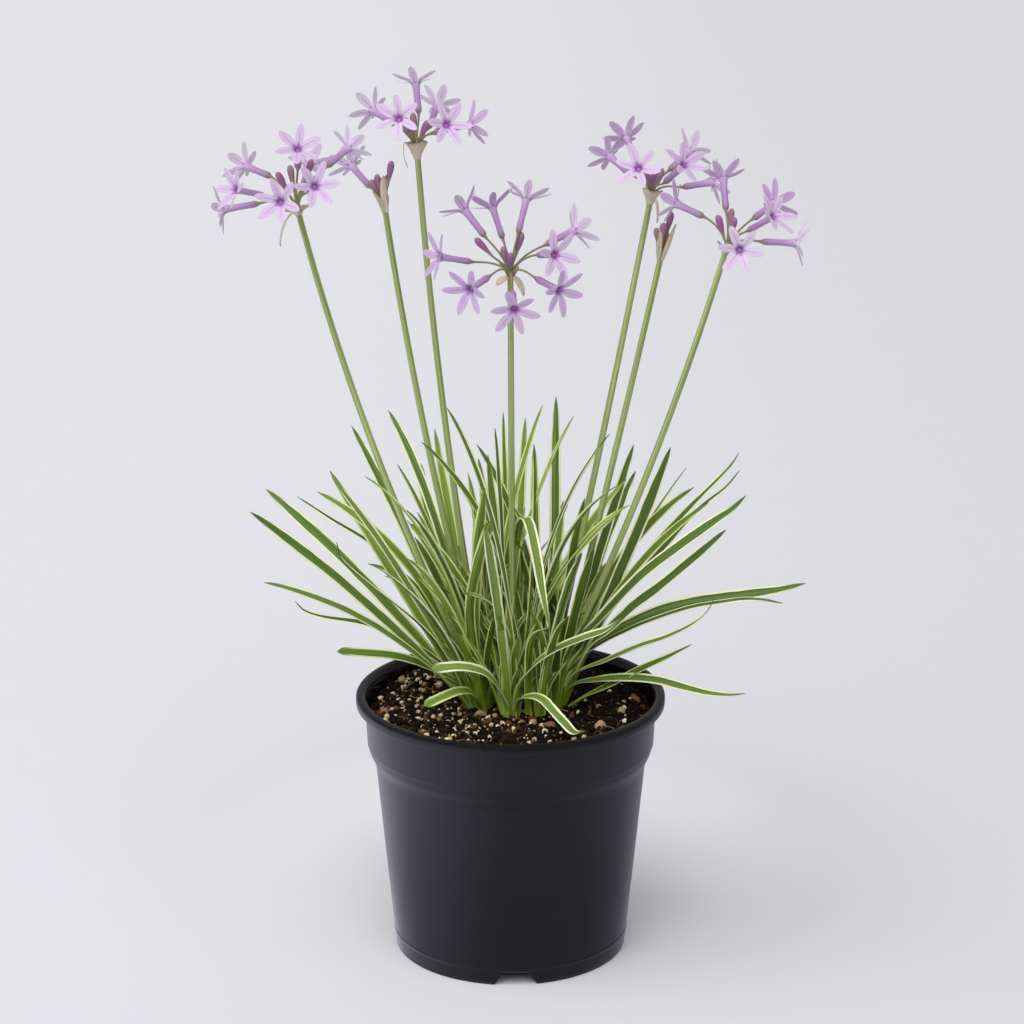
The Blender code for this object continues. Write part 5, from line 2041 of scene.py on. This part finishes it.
    def finish_piece(self, skin: Skin, prefix: str, finish: Material) -> None:
        """Makes one kind of the head's parts a piece, where the head has any."""
        if skin.points:
            number = self.stalk.number
            skin.make(prefix + number, finish, ("umbel_" + number,))


def build_flowers() -> None:
    """Every stalk with its head, in finishes that they share."""
    stem = StemFinish().material()
    tube = TubeFinish().material()
    petal = PetalFinish().material()
    bud = BudFinish().material()
    bract = BractFinish().material()
    green = StalkFinish().material()
    for stalk in STALKS:
        stalk.build(green)
        head = FlowerHead(stalk)
        head.build_stems(stem)
        head.build_tubes(tube)
        head.build_tepals(petal)
        head.build_buds(bud)
        head.build_bracts(bract)


# ---- Studio ----


@dataclass(frozen=True)
class Sun:
    """A broad distant light from the direction of a place, which no surface mirrors."""

    name: str
    place: Point
    strength: float
    spread: float

    def build(self) -> None:
        """The light, turned to shine from its place to the origin."""
        light = bpy.data.lights.new(self.name, "SUN")
        light.energy = self.strength
        light.angle = math.radians(self.spread)
        lamp = bpy.data.objects.new(self.name, light)
        lamp.visible_glossy = False
        bpy.context.collection.objects.link(lamp)
        lamp.location = self.place
        x, y, z = self.place
        lamp.rotation_euler = (math.atan2(math.hypot(x, y), z), 0.0, math.atan2(x, -y))


@dataclass
class Studio:
    """Pale floor, soft light and the camera."""

    camera_place: Point = (0.0008, -1.6552, 0.7498)
    camera_pitch: float = 17.04
    lens: float = 116.02
    sensor: float = 36.0
    floor_reach: float = 14.0
    card_height: float = 0.002
    suns: tuple[Sun, ...] = (
        Sun("key", (-1.0, -0.66, 1.4), 1.3, 65.0),
        Sun("fill", (0.1, -1.0, 1.4), 1.75, 60.0),
    )
    sky_colour: Colour = (0.80, 0.80, 0.81, 1.0)
    sky_strength: float = 0.33

    def level(self, name: str, height: float, finish: Material) -> bpy.types.Object:
        """A wide level square at a height."""
        mesh = bpy.data.meshes.new(name)
        reach = self.floor_reach
        corners = [(-reach, -reach), (reach, -reach), (reach, reach), (-reach, reach)]
        mesh.from_pydata([(*corner, height) for corner in corners], [], [(0, 1, 2, 3)])
        mesh.materials.append(finish)
        level = bpy.data.objects.new(name, mesh)
        bpy.context.collection.objects.link(level)
        return level

    def build_floor(self) -> None:
        """A level floor under the pot."""
        floor = self.level("floor", 0.0, FloorFinish().material())

    def build_mirrored(self) -> None:
        """A sheet just over the floor that only shiny surfaces mirror, brightest on the left."""
        card = self.level("mirrored_card", self.card_height, CardFinish().material())
        card.visible_camera = False
        card.visible_diffuse = False
        card.visible_shadow = False
        card.visible_transmission = False

    def build_sky(self) -> None:
        """Even grey light from all round."""
        world = bpy.data.worlds.new("studio")
        world.use_nodes = True
        background = world.node_tree.nodes["Background"]
        background.inputs["Color"].default_value = self.sky_colour
        background.inputs["Strength"].default_value = self.sky_strength
        bpy.context.scene.world = world

    def build_camera(self) -> None:
        """The camera, ahead of the pot and looking down on it a little."""
        view = bpy.data.cameras.new("camera")
        view.lens = self.lens
        view.sensor_width = self.sensor
        view.clip_end = 60.0
        camera = bpy.data.objects.new("camera", view)
        camera.location = self.camera_place
        camera.rotation_euler = (math.radians(90 - self.camera_pitch), 0.0, 0.0)
        bpy.context.collection.objects.link(camera)
        bpy.context.scene.camera = camera

    def build(self) -> None:
        """The whole studio."""
        self.build_floor()
        self.build_mirrored()
        for sun in self.suns:
            sun.build()
        self.build_sky()
        self.build_camera()
        bpy.context.scene.view_settings.view_transform = "Standard"


def main() -> None:
    """Builds the studio and the plant."""
    logging.basicConfig(level=logging.INFO, format="%(name)s: %(message)s")
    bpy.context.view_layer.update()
    Studio().build()
    pot = NurseryPot.from_frame()
    pot.build(PotPlastic().material())
    PottingSoil(pot).build()
    LeafTufts().build()
    build_flowers()


if __name__ == "__main__":
    main()
